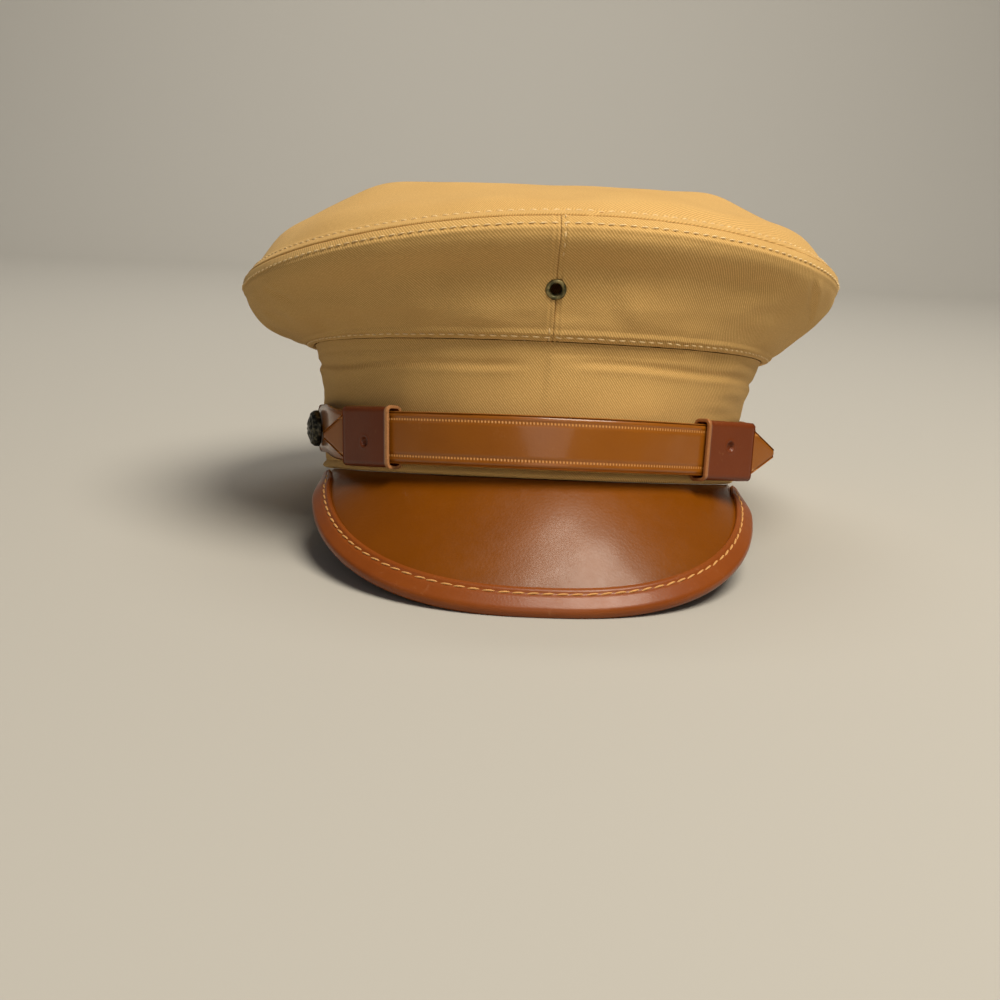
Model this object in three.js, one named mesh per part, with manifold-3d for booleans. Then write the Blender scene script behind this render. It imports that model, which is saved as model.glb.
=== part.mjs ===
// A khaki peaked service cap that lies by itself on a table: a stiff cloth band with a wide
// crown over it, a sloped leather visor with a bound edge, and two layers of leather strap
// that run from button to button through two keepers.
// Millimetres. The cap is drawn on the level of its band: the wearer's left at +X, the back at
// +Y, and the visor's seam at Z = 0. The last section sets it down on its visor and its back.
import * as THREE from 'three';
import { mergeVertices } from 'three/addons/utils/BufferGeometryUtils.js';
import Module from 'manifold-3d';

const wasm = await Module();
wasm.setup();

// Cloth band
const bandHalfLength = 102.5;
const bandHalfWidth = 85;
const bandHeight = 48.5;
const bandWall = 2.4;
const bandFlareSide = 7.9;
const bandFlareEnd = 3;
const bandSideRise = 1.6;
const bandShift = 2;
const creaseBelowSeam = 8;
const creaseDepth = 0.7;
const creaseHalfHeight = 3;
const rollHeight = 1.5;
const rollDepth = 0.8;

// Crown
const clothWall = 1.6;
const overhangFront = 21.5;
const overhangSide = 29.8;
const overhangBack = 24;
const weltAboveSeamFront = 41.5;
const weltAboveSeamSide = 29.5;
const weltAboveSeamBack = 28.5;
const crownHeight = 69.5;
const crownLean = 4.2;

// Visor and its binding
const visorWall = 2.2;
const visorAngle = 68;
const visorHalfWidth = 83.3;
const visorReach = 30;
const visorDrop = 43.8;
const visorEndBack = 37;
const visorEndDrop = 2.6;
const visorEndPull = 3.2;
const visorSwell = 1.6;
const visorSquareness = 2.4;
const bindingWall = 1.3;
const bindingLip = 7.5;

// Straps and keepers
const strapWidth = 19.05;
const strapRise = 3.3;
const strapLean = 0.06;
const underWall = 1.6;
const frontWall = 1.8;
const tipLength = 13.7;
const tipEndWidth = 3.6;
const keeperWall = 1.3;
const keeperWidth = 26;
const keeperCorner = 2;
const keeperHoleRadius = 1.3;

// Side buttons and front eyelet
const buttonAngle = 74;
const buttonLift = 3;
const buttonRadius = 7.25;
const buttonDome = 3.2;
const buttonRim = 1.3;
const shankRadius = 1.5;
const eyeletHeight = 66;
const eyeletRadius = 2.9;
const eyeletBarrel = 2.1;
const eyeletBore = 1.5;
const eyeletFlange = 0.6;

// Gaps between pieces, and how far the resting edges are pressed flat
const gap = 0.3;
const pressed = 0.6;

// Steps of the meshes
const roundSteps = 56;
const visorSteps = 28;
const turnedSides = 20;
const fineStep = 0.004;
const weltStep = 0.02;

// The strap's two sides, in millimetres from the middle of the front: where its keeper starts,
// where it leaves the band's curve and runs straight on, and how far the keeper's hole lies
// above the middle of the strap. side is +1 on the wearer's left.
const strapSides = [
  { name: 'right', side: -1, keeperFrom: 60, straightFrom: 73, holeRise: -2 },
  { name: 'left', side: 1, keeperFrom: 68, straightFrom: 55, holeRise: 1.7 },
];

// The crown's section from the seam on the band to the welt, as shares of the overhang (out)
// and of the welt's height above the seam (up). The front is pushed in over the eyelet, so
// that it has a lower lobe and a lip under the welt. The sides sweep out in one curve.
const crownSection = [
  { frontOut: 0.00, frontUp: 0.000, sideOut: 0.00, sideUp: 0.00 },
  { frontOut: 0.19, frontUp: 0.050, sideOut: 0.18, sideUp: 0.07 },
  { frontOut: 0.35, frontUp: 0.120, sideOut: 0.36, sideUp: 0.17 },
  { frontOut: 0.45, frontUp: 0.215, sideOut: 0.53, sideUp: 0.27 },
  { frontOut: 0.50, frontUp: 0.335, sideOut: 0.68, sideUp: 0.37 },
  { frontOut: 0.58, frontUp: 0.470, sideOut: 0.81, sideUp: 0.49 },
  { frontOut: 0.75, frontUp: 0.600, sideOut: 0.91, sideUp: 0.62 },
  { frontOut: 0.91, frontUp: 0.735, sideOut: 0.97, sideUp: 0.75 },
  { frontOut: 0.98, frontUp: 0.870, sideOut: 1.00, sideUp: 0.88 },
  { frontOut: 0.87, frontUp: 1.000, sideOut: 0.98, sideUp: 1.00 },
];

// The top panel's fall as a share of its whole fall, in even steps from its level middle to
// the welt: a long slope to the front, and a shoulder with a steep drop to the sides.
const topFall = [
  { front: 0.00, side: 0.00 },
  { front: 0.01, side: 0.00 },
  { front: 0.03, side: 0.00 },
  { front: 0.08, side: 0.00 },
  { front: 0.16, side: 0.00 },
  { front: 0.26, side: 0.01 },
  { front: 0.37, side: 0.05 },
  { front: 0.48, side: 0.21 },
  { front: 0.60, side: 0.40 },
  { front: 0.74, side: 0.60 },
  { front: 1.00, side: 1.00 },
];

const cloth = { color: 0xc39a58, roughness: 0.9, metalness: 0 };
const visorLeather = { color: 0x86470f, roughness: 0.32, metalness: 0 };
const bindingLeather = { color: 0x8a431b, roughness: 0.4, metalness: 0 };
const strapLeather = { color: 0x96541c, roughness: 0.38, metalness: 0 };
const keeperLeather = { color: 0x6a3013, roughness: 0.42, metalness: 0 };
const darkBrass = { color: 0x3a352b, roughness: 0.45, metalness: 0.8 };
const agedBrass = { color: 0x6b5a35, roughness: 0.5, metalness: 0.8 };

const upward = new THREE.Vector3(0, 0, 1);
const radians = THREE.MathUtils.degToRad;
const clamp = THREE.MathUtils.clamp;
const smooth = THREE.MathUtils.smoothstep;
const span = (from, to, count) => (
  Array.from({ length: count + 1 }, (_, i) => from + ((to - from) * i) / count)
);

// A smooth curve through one column of a table, read at a share from 0 to 1.
function columnCurve(rows, column) {
  const points = rows.map((row, i) => new THREE.Vector2(i / (rows.length - 1), row[column]));
  const curve = new THREE.SplineCurve(points);
  return (share) => curve.getPoint(clamp(share, 0, 1)).y;
}

// One closed skin: equal corners are joined, and triangles that this leaves flat are dropped.
function welded(geometry) {
  const bare = new THREE.BufferGeometry();
  bare.setAttribute('position', geometry.getAttribute('position'));
  if (geometry.index) bare.setIndex(geometry.index);
  const joined = mergeVertices(bare, 1e-3);
  const corners = joined.index.array;
  const kept = [];
  for (let i = 0; i < corners.length; i += 3) {
    const [a, b, c] = corners.slice(i, i + 3);
    if (a !== b && b !== c && c !== a) kept.push(a, b, c);
  }
  return joined.setIndex(kept);
}

// A sheet of even thickness behind the surface at(u, v). Its outer side is the one that the
// direction of u crossed with the direction of v points to. A ring closes on itself in u, and
// the normal is taken over a step to each side, so that two sheets that meet share a mitre.
function sheet(at, us, vs, wall, { ring = false, step = fineStep } = {}) {
  const crossed = (u, v) => {
    const alongU = at(u + step, v).sub(at(u - step, v));
    const alongV = at(u, v + step).sub(at(u, v - step));
    return alongU.cross(alongV);
  };
  const normalAt = (u, v) => {
    const normal = crossed(u, v);
    const atPole = normal.length() < step ** 3;
    return (atPole ? crossed(u, v - step) : normal).normalize();
  };
  const outer = us.map((u) => vs.map((v) => at(u, v)));
  const inner = us.map((u, i) => (
    vs.map((v, j) => outer[i][j].clone().addScaledVector(normalAt(u, v), -wall))
  ));
  const corners = [];
  const quad = (a, b, c, d) => corners.push(a, b, c, a, c, d);
  const lastU = us.length - 1;
  const lastV = vs.length - 1;
  for (let i = 0; i < (ring ? us.length : lastU); i += 1) {
    const k = (i + 1) % us.length;
    for (let j = 0; j < lastV; j += 1) {
      quad(outer[i][j], outer[k][j], outer[k][j + 1], outer[i][j + 1]);
      quad(inner[i][j], inner[i][j + 1], inner[k][j + 1], inner[k][j]);
    }
    quad(outer[i][0], inner[i][0], inner[k][0], outer[k][0]);
    quad(outer[i][lastV], outer[k][lastV], inner[k][lastV], inner[i][lastV]);
  }
  for (let j = 0; !ring && j < lastV; j += 1) {
    quad(outer[0][j], outer[0][j + 1], inner[0][j + 1], inner[0][j]);
    quad(outer[lastU][j], inner[lastU][j], inner[lastU][j + 1], outer[lastU][j + 1]);
  }
  return welded(new THREE.BufferGeometry().setFromPoints(corners));
}

function solidOf(geometry) {
  const skin = welded(geometry);
  return new wasm.Manifold(new wasm.Mesh({
    numProp: 3,
    vertProperties: new Float32Array(skin.getAttribute('position').array),
    triVerts: new Uint32Array(skin.index.array),
  }));
}

// A body with each of the other bodies cut out of it.
function cut(body, ...others) {
  const left = others.reduce((solid, other) => solid.subtract(solidOf(other)), solidOf(body));
  const { vertProperties, triVerts } = left.getMesh();
  const geometry = new THREE.BufferGeometry();
  geometry.setAttribute('position', new THREE.BufferAttribute(new Float32Array(vertProperties), 3));
  return geometry.setIndex(new THREE.BufferAttribute(new Uint32Array(triVerts), 1));
}

// A body turned so that its own +Z points along a direction, and then moved to a place.
function faced(geometry, place, direction) {
  const turn = new THREE.Quaternion().setFromUnitVectors(upward, direction);
  return geometry.applyQuaternion(turn).translate(place.x, place.y, place.z);
}

const roundBar = (radius, length) => (
  new THREE.CylinderGeometry(radius, radius, length, turnedSides).rotateX(Math.PI / 2)
);

const cap = new THREE.Group();

function add(name, geometry, finish) {
  const mesh = new THREE.Mesh(geometry, new THREE.MeshStandardMaterial(finish));
  mesh.name = name;
  cap.add(mesh);
}

// The head oval. Angles run from the front (0) to the wearer's left (90 degrees) and the back
// (180), and an offset grows the oval outward along its own normal.
function ovalNormal(angle) {
  const across = Math.sin(angle) / bandHalfWidth;
  const along = -Math.cos(angle) / bandHalfLength;
  return new THREE.Vector3(across, along, 0).normalize();
}

function ovalPoint(angle, height, offset) {
  const across = bandHalfWidth * Math.sin(angle);
  const along = -bandHalfLength * Math.cos(angle);
  return new THREE.Vector3(across, along, height).addScaledVector(ovalNormal(angle), offset);
}

const around = span(-Math.PI, Math.PI, roundSteps).slice(0, -1);
const bandTop = (angle) => bandHeight + bandSideRise * Math.sin(angle) ** 2;

function bandFlare(angle, height) {
  const flare = bandFlareEnd + (bandFlareSide - bandFlareEnd) * Math.sin(angle) ** 2;
  return flare * clamp(height / bandHeight, 0, 1) ** 2.5;
}

// The upper part of the cap sits a little to the wearer's left of its foot.
const shiftAt = (height) => bandShift * clamp(height / bandHeight, 0, 1) ** 1.5;

// The band's outer face: a small roll at its foot, the flare, and one level crease that fades
// out at the middle of the front.
function bandPoint(angle, height) {
  const roll = rollDepth * Math.sin(Math.PI * clamp(height / rollHeight, 0, 1));
  const fromCrease = (height - bandHeight + creaseBelowSeam) / creaseHalfHeight;
  const fade = smooth(Math.abs(Math.sin(angle / 2)), 0.02, 0.12);
  const crease = creaseDepth * fade * Math.exp(-3 * fromCrease ** 2);
  const point = ovalPoint(angle, height, bandFlare(angle, height) + roll - crease);
  point.x += shiftAt(height);
  point.z *= bandTop(angle) / bandHeight;
  return point;
}

function bandBody() {
  const creaseMiddle = bandHeight - creaseBelowSeam;
  const heights = [
    0, rollHeight / 2,
    ...span(rollHeight, creaseMiddle - creaseHalfHeight, 3),
    creaseMiddle, creaseMiddle + creaseHalfHeight,
    bandHeight,
  ];
  return sheet(bandPoint, around, heights, bandWall, { ring: true });
}

// A size that goes from its front value through the side's to the back's.
function roundTheCap(angle, front, side, back) {
  const end = Math.cos(angle) > 0 ? front : back;
  return side + (end - side) * Math.cos(angle) ** 2;
}

const frontness = (angle) => Math.max(Math.cos(angle), 0) ** 2;
const overhangAt = (angle) => roundTheCap(angle, overhangFront, overhangSide, overhangBack);
const weltAt = (angle) => roundTheCap(angle, weltAboveSeamFront, weltAboveSeamSide, weltAboveSeamBack);
const leanAt = (point) => crownLean * (point.x / (bandHalfWidth + overhangSide));

const sectionCurves = Object.fromEntries(
  Object.keys(crownSection[0]).map((column) => [column, columnCurve(crownSection, column)]),
);
const fallCurves = { front: columnCurve(topFall, 'front'), side: columnCurve(topFall, 'side') };

// One place on the crown's side: share 0 on the band's seam, 1 on the welt.
function crownSide(angle, share) {
  const front = frontness(angle);
  const mixed = (frontColumn, sideColumn) => (
    front * sectionCurves[frontColumn](share) + (1 - front) * sectionCurves[sideColumn](share)
  );
  const out = bandFlare(angle, bandHeight) + mixed('frontOut', 'sideOut') * overhangAt(angle);
  const up = bandTop(angle) + gap + mixed('frontUp', 'sideUp') * weltAt(angle);
  const point = ovalPoint(angle, up, out);
  point.x += bandShift;
  point.z += leanAt(point) * smooth(share, 0, 0.45);
  return point;
}

// One place on the top panel: share 0 on the welt, 1 at the middle.
function crownTop(angle, share) {
  const welt = crownSide(angle, 1);
  const outward = 1 - share;
  const front = frontness(angle);
  const fall = front * fallCurves.front(outward) + (1 - front) * fallCurves.side(outward);
  const whole = bandHeight + crownHeight - bandTop(angle) - weltAt(angle);
  const point = new THREE.Vector3(bandShift + (welt.x - bandShift) * outward, welt.y * outward, 0);
  point.z = bandHeight + gap + crownHeight - whole * fall + leanAt(welt) * outward ** 3;
  return point;
}

// The whole crown in one run: 0 on the seam, 1 on the welt, 2 at the middle of the top.
const crownPoint = (angle, run) => (run <= 1 ? crownSide(angle, run) : crownTop(angle, run - 1));

// The crown: two side panels that meet in seams at the front and the back, and a top panel
// that meets them in the welt. Each seam leaves the gap between its two edges.
function addCrown(eyelet) {
  const sideLength = weltAboveSeamSide + overhangSide;
  const topLength = bandHalfWidth + overhangSide;
  const seam = gap / 2 / (bandHalfWidth + overhangFront);
  const sideShares = [0, 0.1, 0.2, 0.32, 0.44, 0.56, 0.67, 0.78, 0.89, 1 - gap / 2 / sideLength];
  const topShares = [1 + gap / 2 / topLength, 1.04, 1.1, 1.2, 1.3, 1.4, 1.55, 1.75, 2];
  const hole = faced(roundBar(eyeletBarrel + gap, 8 * clothWall), eyelet.place, eyelet.normal);
  const half = roundSteps / 2;
  const skin = (angles, shares, ring) => (
    sheet(crownPoint, angles, shares, clothWall, { ring, step: weltStep })
  );
  const panel = (from, to) => cut(skin(span(from, to, half), sideShares, false), hole);
  add('crown_side_right', panel(seam - Math.PI, -seam), cloth);
  add('crown_side_left', panel(seam, Math.PI - seam), cloth);
  add('crown_top', skin(around, topShares, true), cloth);
}

// The eyelet's place on the front seam, at its own height.
function eyeletSeat() {
  const share = span(0, 1, 400).find((level) => crownSide(0, level).z >= eyeletHeight);
  const up = crownSide(0, share + fineStep).sub(crownSide(0, share - fineStep));
  return { place: crownSide(0, share), normal: new THREE.Vector3(1, 0, 0).cross(up).normalize() };
}

// A turned ring with one flange outside the cloth and one inside it.
function addEyelet({ place, normal }) {
  const outside = gap + eyeletFlange;
  const inside = -clothWall - gap - eyeletFlange;
  const profile = [
    [eyeletBore, inside], [eyeletRadius, inside],
    [eyeletRadius, inside + eyeletFlange], [eyeletBarrel, inside + eyeletFlange],
    [eyeletBarrel, gap], [eyeletRadius, gap],
    [eyeletRadius - eyeletFlange / 2, outside], [eyeletBore + eyeletFlange / 2, outside],
    [eyeletBore, gap], [eyeletBore, inside],
  ].map(([radius, height]) => new THREE.Vector2(radius, height));
  const ring = new THREE.LatheGeometry(profile, turnedSides).rotateX(Math.PI / 2);
  add('front_eyelet', faced(welded(ring), place, normal), agedBrass);
}

// The visor's middle surface runs from its root under the band to its edge, with a slight
// swell on the way. The edge is a squared oval in a plane that falls towards the front.
function visorEdge(share) {
  const turn = (Math.PI / 2) * share;
  const reach = bandHalfLength + visorReach - visorEndBack;
  const across = Math.abs(Math.sin(turn)) / visorHalfWidth;
  const forward = Math.abs(Math.cos(turn)) / reach;
  const radius = (across ** visorSquareness + forward ** visorSquareness) ** (-1 / visorSquareness);
  const run = (radius * Math.cos(turn)) / reach;
  const pull = visorEndPull * (1 - smooth(run, 0, 0.25)) * Math.sign(share);
  const height = -visorEndDrop - (visorDrop - visorEndDrop) * run;
  return new THREE.Vector3(radius * Math.sin(turn) - pull, -visorEndBack - reach * run, height);
}

function visorPoint(share, out) {
  const angle = radians(visorAngle) * share;
  const root = ovalPoint(angle, -gap - visorWall * 0.3, -visorWall / 2);
  const swell = visorSwell * 4 * out * (1 - out) * Math.cos((Math.PI / 2) * share);
  const point = root.lerp(visorEdge(share), out);
  return point.addScaledVector(ovalNormal(angle), swell * 0.8).addScaledVector(upward, swell * 0.6);
}

function visorNormal(share, out) {
  const along = visorPoint(share + fineStep, out).sub(visorPoint(share - fineStep, out));
  const down = visorPoint(share, out + fineStep).sub(visorPoint(share, out - fineStep));
  return down.cross(along).normalize();
}

function addVisor() {
  const topFace = (share, rise) => (
    visorPoint(share, 1 - rise).addScaledVector(visorNormal(share, 1 - rise), visorWall / 2)
  );
  add('visor', sheet(topFace, span(-1, 1, visorSteps), span(0, 1, 5), visorWall), visorLeather);
}

// The binding is folded over the visor's edge. Its way round goes from -2 at the end of the
// lower lip, through the round nose between -1 and 1, to 2 at the end of the upper lip.
function bindingPoint(share, way) {
  const half = visorWall / 2 + gap + bindingWall;
  const length = visorPoint(share, 1).distanceTo(visorPoint(share, 0));
  const lip = Math.min(bindingLip, length * 0.55) / length;
  const out = 1 - lip * Math.max(Math.abs(way) - 1, 0);
  const normal = visorNormal(share, out);
  if (out < 1) return visorPoint(share, out).addScaledVector(normal, half * Math.sign(way));
  const turn = (Math.PI / 2) * way;
  const edge = visorPoint(share, 1);
  const outward = edge.clone().sub(visorPoint(share, 1 - fineStep)).normalize();
  edge.addScaledVector(normal, half * Math.sin(turn));
  return edge.addScaledVector(outward, half * Math.cos(turn));
}

function bindingBody() {
  const ways = [-2, -1.5, -1, -0.6, -0.2, 0.2, 0.6, 1, 1.5, 2];
  return sheet(bindingPoint, span(-0.985, 0.985, visorSteps), ways, bindingWall);
}

// The strap's layers from the band outward: keeper, under strap, front strap, keeper. An
// offset is the distance of a layer's outer face from the head oval.
const keeperBack = rollDepth + 2 * gap;
const underFace = keeperBack + keeperWall + gap + underWall;
const frontFace = underFace + gap + frontWall;
const keeperFace = frontFace + gap + keeperWall;

// The angle on the oval at a distance along the keepers' face from the middle of the front.
const stationStep = radians(0.5);
const stations = [0];
while (stations.length * stationStep < Math.PI / 2) {
  const angle = stations.length * stationStep;
  const stride = ovalPoint(angle, 0, keeperFace).distanceTo(ovalPoint(angle - stationStep, 0, keeperFace));
  stations.push(stations.at(-1) + stride);
}

function angleAt(distance) {
  const i = stations.findIndex((station) => station > distance);
  const part = (distance - stations[i - 1]) / (stations[i] - stations[i - 1]);
  return (i - 1 + part) * stationStep;
}

const sideOf = (distance) => strapSides.find(({ side }) => side === (distance < 0 ? -1 : 1));

// A place on the strap: signed distance from the middle of the front, offset of the layer's
// face, and height above the strap's lower edge.
function strapPoint(distance, offset, height) {
  const { side, straightFrom } = sideOf(distance);
  const angle = side * angleAt(Math.min(Math.abs(distance), straightFrom));
  const along = ovalNormal(angle).applyAxisAngle(upward, Math.PI / 2);
  const past = side * Math.max(Math.abs(distance) - straightFrom, 0);
  return ovalPoint(angle, strapRise + height, offset + strapLean * height).addScaledVector(along, past);
}

// The front strap is pointed at both ends, just past its keepers.
function addFrontStrap() {
  const [right, left] = strapSides.map(({ keeperFrom }) => keeperFrom + keeperWidth);
  const narrowing = (distance) => {
    const past = Math.abs(distance) - (distance < 0 ? right : left);
    return clamp(past / tipLength, 0, 1) * (1 - tipEndWidth / strapWidth);
  };
  const at = (distance, share) => {
    const height = (strapWidth / 2) * (1 + share * (1 - narrowing(distance)));
    return strapPoint(distance, frontFace, height);
  };
  const distances = [-right - tipLength, ...span(-right, left, 34), left + tipLength];
  add('front_strap', sheet(at, distances, span(-1, 1, 2), frontWall), strapLeather);
}

// The under strap follows the front strap through the keepers, and then comes back to the
// band, where a button holds each of its round ends.
const buttonHeight = buttonLift + strapWidth / 2;
const buttonOffset = keeperBack + underWall;

function buttonSeat(side) {
  const angle = side * radians(buttonAngle);
  const offset = buttonOffset + strapLean * (strapWidth / 2);
  const place = ovalPoint(angle, strapRise + buttonHeight, offset);
  const normal = ovalNormal(angle).setZ(-strapLean).normalize();
  return { place, normal, along: ovalNormal(angle).applyAxisAngle(upward, (side * Math.PI) / 2) };
}

function addUnderStrap() {
  const line = new THREE.CurvePath();
  const middle = strapWidth / 2;
  const returnTo = ({ side, keeperFrom }) => {
    const from = side * (keeperFrom + keeperWidth);
    const start = strapPoint(from, underFace, middle);
    const ahead = strapPoint(from + side, underFace, middle).sub(start);
    const { place, along } = buttonSeat(side);
    const landing = place.clone().addScaledVector(along, -buttonRadius - gap);
    const reach = start.distanceTo(landing) * 0.4;
    const leaving = start.clone().addScaledVector(ahead, reach);
    const arriving = landing.clone().addScaledVector(along, -reach);
    const turns = [leaving, arriving];
    const end = place.clone().addScaledVector(along, middle);
    return { start, turns, landing, end };
  };
  const [right, left] = strapSides.map(returnTo);
  const across = new THREE.Curve();
  const [rightEnd, leftEnd] = strapSides.map(({ side, keeperFrom }) => side * (keeperFrom + keeperWidth));
  across.getPoint = (share) => strapPoint(rightEnd + (leftEnd - rightEnd) * share, underFace, middle);
  line.add(new THREE.LineCurve3(right.end, right.landing));
  line.add(new THREE.CubicBezierCurve3(right.landing, right.turns[1], right.turns[0], right.start));
  line.add(across);
  line.add(new THREE.CubicBezierCurve3(left.start, ...left.turns, left.landing));
  line.add(new THREE.LineCurve3(left.landing, left.end));
  const lengths = line.getCurveLengths();
  const whole = lengths.at(-1);
  const at = (distance, share) => {
    const fromEnd = Math.min(distance, whole - distance);
    const short = clamp(middle - fromEnd, 0, middle * 0.97);
    const half = Math.sqrt(middle ** 2 - short ** 2);
    const point = line.getPoint(distance / whole);
    const behind = line.getPoint((distance - fineStep) / whole);
    const ahead = line.getPoint((distance + fineStep) / whole).sub(behind);
    const outward = ahead.cross(upward).normalize();
    return point.addScaledVector(upward, share * half).addScaledVector(outward, share * half * strapLean);
  };
  const roundEnd = [0.97, 0.86, 0.62, 0.32].map((part) => middle * (1 - part));
  const distances = [
    ...roundEnd,
    ...span(lengths[0], lengths[1], 6),
    ...span(lengths[1], lengths[2], 30).slice(1),
    ...span(lengths[2], lengths[3], 6).slice(1),
    ...roundEnd.map((distance) => whole - distance).reverse(),
  ];
  const holes = strapSides.map(({ side }) => {
    const { place, normal } = buttonSeat(side);
    return faced(roundBar(shankRadius + gap, 4 * underWall), place, normal);
  });
  add('under_strap', cut(sheet(at, distances, span(-1, 1, 2), underWall), ...holes), strapLeather);
}

// A keeper is a flat loop of leather round both straps, with one punched hole in its face.
function addKeeper({ name, side, keeperFrom, holeRise }) {
  const outline = new THREE.Path();
  const [back, face] = [keeperBack, keeperFace];
  const [low, high] = [-gap - keeperWall, strapWidth + gap + keeperWall];
  outline.absarc(face - keeperCorner, low + keeperCorner, keeperCorner, 0, -Math.PI / 2, true);
  outline.absarc(back + keeperCorner, low + keeperCorner, keeperCorner, -Math.PI / 2, -Math.PI, true);
  outline.absarc(back + keeperCorner, high - keeperCorner, keeperCorner, Math.PI, Math.PI / 2, true);
  outline.absarc(face - keeperCorner, high - keeperCorner, keeperCorner, Math.PI / 2, 0, true);
  outline.closePath();
  const lengths = outline.getCurveLengths();
  const whole = lengths.at(-1);
  const at = (way, distance) => {
    const point = outline.getPoint(THREE.MathUtils.euclideanModulo(way, whole) / whole);
    return strapPoint(distance, point.x, point.y);
  };
  const stops = lengths.flatMap((length, i) => (
    span(i ? lengths[i - 1] : 0, length, i % 2 ? 1 : 3).slice(0, -1)
  ));
  const ends = [side * keeperFrom, side * (keeperFrom + keeperWidth)].sort((a, b) => a - b);
  const loop = sheet(at, stops, span(...ends, 4), keeperWall, { ring: true });
  const middle = side * (keeperFrom + keeperWidth / 2);
  const seat = strapPoint(middle, keeperFace, strapWidth / 2 + holeRise);
  const outward = strapPoint(middle, keeperFace + 1, strapWidth / 2 + holeRise).sub(seat);
  const hole = faced(roundBar(keeperHoleRadius, 3 * keeperWall), seat, outward);
  add(`keeper_${name}`, cut(loop, hole), keeperLeather);
}

// A domed button with a flat back, whose shank goes through the strap's end and the band.
function buttonBody(side) {
  const shankEnd = -(buttonOffset + bandWall + 2 * gap);
  const back = gap + buttonRadius ** 2 / bandHalfWidth / 2;
  const dome = span(0, 1, 5).map((share) => {
    const turn = (Math.PI / 2) * share;
    return [buttonRadius * Math.cos(turn), back + buttonRim + buttonDome * Math.sin(turn)];
  });
  const profile = [
    [0, shankEnd], [shankRadius, shankEnd], [shankRadius, back], [buttonRadius, back], ...dome,
  ].map(([radius, height]) => new THREE.Vector2(Math.max(radius, 0), height));
  const turned = new THREE.LatheGeometry(profile, turnedSides).rotateX(Math.PI / 2);
  const { place, normal } = buttonSeat(side);
  return faced(welded(turned), place, normal);
}

// The cap set down: it leans back until the visor's edge and the back of the band both touch
// the table, which presses them a little flat.
const band = bandBody();
const binding = bindingBody();

function lowest(geometry, tilt) {
  const turned = geometry.clone().rotateX(-tilt).getAttribute('position');
  let low = 0;
  for (let i = 1; i < turned.count; i += 1) {
    if (turned.getZ(i) < turned.getZ(low)) low = i;
  }
  return new THREE.Vector3().fromBufferAttribute(turned, low);
}

let tilt = 0;
for (let pass = 0; pass < 8; pass += 1) {
  const front = lowest(binding, tilt);
  const back = lowest(band, tilt);
  tilt += Math.atan2(back.z - front.z, back.y - front.y);
}
cap.rotation.x = -tilt;
cap.position.z = -lowest(binding, tilt).z - pressed;
cap.updateMatrix();

function tableTop() {
  const thick = 20;
  const wide = 4 * bandHalfLength;
  const slab = new THREE.BoxGeometry(wide, wide, thick).translate(0, 0, -thick / 2);
  return slab.applyMatrix4(cap.matrix.clone().invert());
}

const shankHoles = strapSides.map(({ side }) => {
  const { place, normal } = buttonSeat(side);
  return faced(roundBar(shankRadius + gap, 8 * bandWall), place, normal);
});
const eyelet = eyeletSeat();

add('band', cut(band, tableTop(), ...shankHoles), cloth);
addCrown(eyelet);
addEyelet(eyelet);
addVisor();
add('visor_binding', cut(binding, tableTop()), bindingLeather);
addUnderStrap();
addFrontStrap();
strapSides.forEach(addKeeper);
strapSides.forEach(({ name, side }) => add(`button_${name}`, buttonBody(side), darkBrass));

// The origin is under the middle of the cap's outer box.
const part = new THREE.Group();
part.add(cap);
part.updateMatrixWorld(true);
const middle = new THREE.Box3().setFromObject(part, true).getCenter(new THREE.Vector3());
cap.position.x = -middle.x;
cap.position.y = -middle.y;

export default part;
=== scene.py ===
"""A khaki peaked service cap lying by itself on a pale table.

The cap is worked out in millimetres on the level of its own band, with the wearer's left at +x
and the back at +y, and is set down in the frame's metres as its pieces are made.
"""
import math

import bmesh
import bpy
import numpy as np
from mathutils import Matrix, Vector


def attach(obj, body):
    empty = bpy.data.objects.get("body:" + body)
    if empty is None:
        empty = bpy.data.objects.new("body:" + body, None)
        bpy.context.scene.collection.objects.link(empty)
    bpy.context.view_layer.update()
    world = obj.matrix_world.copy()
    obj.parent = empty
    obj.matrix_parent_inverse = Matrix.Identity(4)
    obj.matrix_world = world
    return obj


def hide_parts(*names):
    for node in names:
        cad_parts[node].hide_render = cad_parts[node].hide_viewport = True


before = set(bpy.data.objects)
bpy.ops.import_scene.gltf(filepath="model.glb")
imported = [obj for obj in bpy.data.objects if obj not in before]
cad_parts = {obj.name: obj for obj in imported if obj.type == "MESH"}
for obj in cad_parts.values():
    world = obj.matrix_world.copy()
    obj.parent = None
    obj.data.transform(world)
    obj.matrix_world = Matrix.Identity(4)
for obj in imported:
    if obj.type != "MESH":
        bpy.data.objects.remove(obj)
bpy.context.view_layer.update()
scene = bpy.context.scene

# The cap as it lies
# A stiff cap set down by itself leans back until the visor's edge and the rear of the band
# both touch the table, so its own level is turned by this much and lifted off the table.
LEAN = 0.19524
LIFT = 19.285
MIDDLE_X, MIDDLE_Y = -2.0, -0.203


def turned(directions):
    """Directions on the cap's level, turned about x by the lean."""
    x, y, z = np.moveaxis(np.asarray(directions, float), -1, 0)
    along = math.cos(LEAN) * y + math.sin(LEAN) * z
    up = math.cos(LEAN) * z - math.sin(LEAN) * y
    return np.stack([x, along, up], axis=-1)


def set_down(points):
    """Points on the cap's level in mm, turned, lifted and centred, in the frame's metres."""
    return (turned(points) + (MIDDLE_X, MIDDLE_Y, LIFT)) / 1000


# Khaki twill
# The cloth is a cotton twill: fine slanting ribs 0.7 mm apart, drawn 0.8 mm apart so that
# they show, with lighter and darker yarns and a soft matt nap that catches the light.
TWILL_PITCH = 0.8
WAVE_PERIOD = 2 * math.pi / 20


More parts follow.
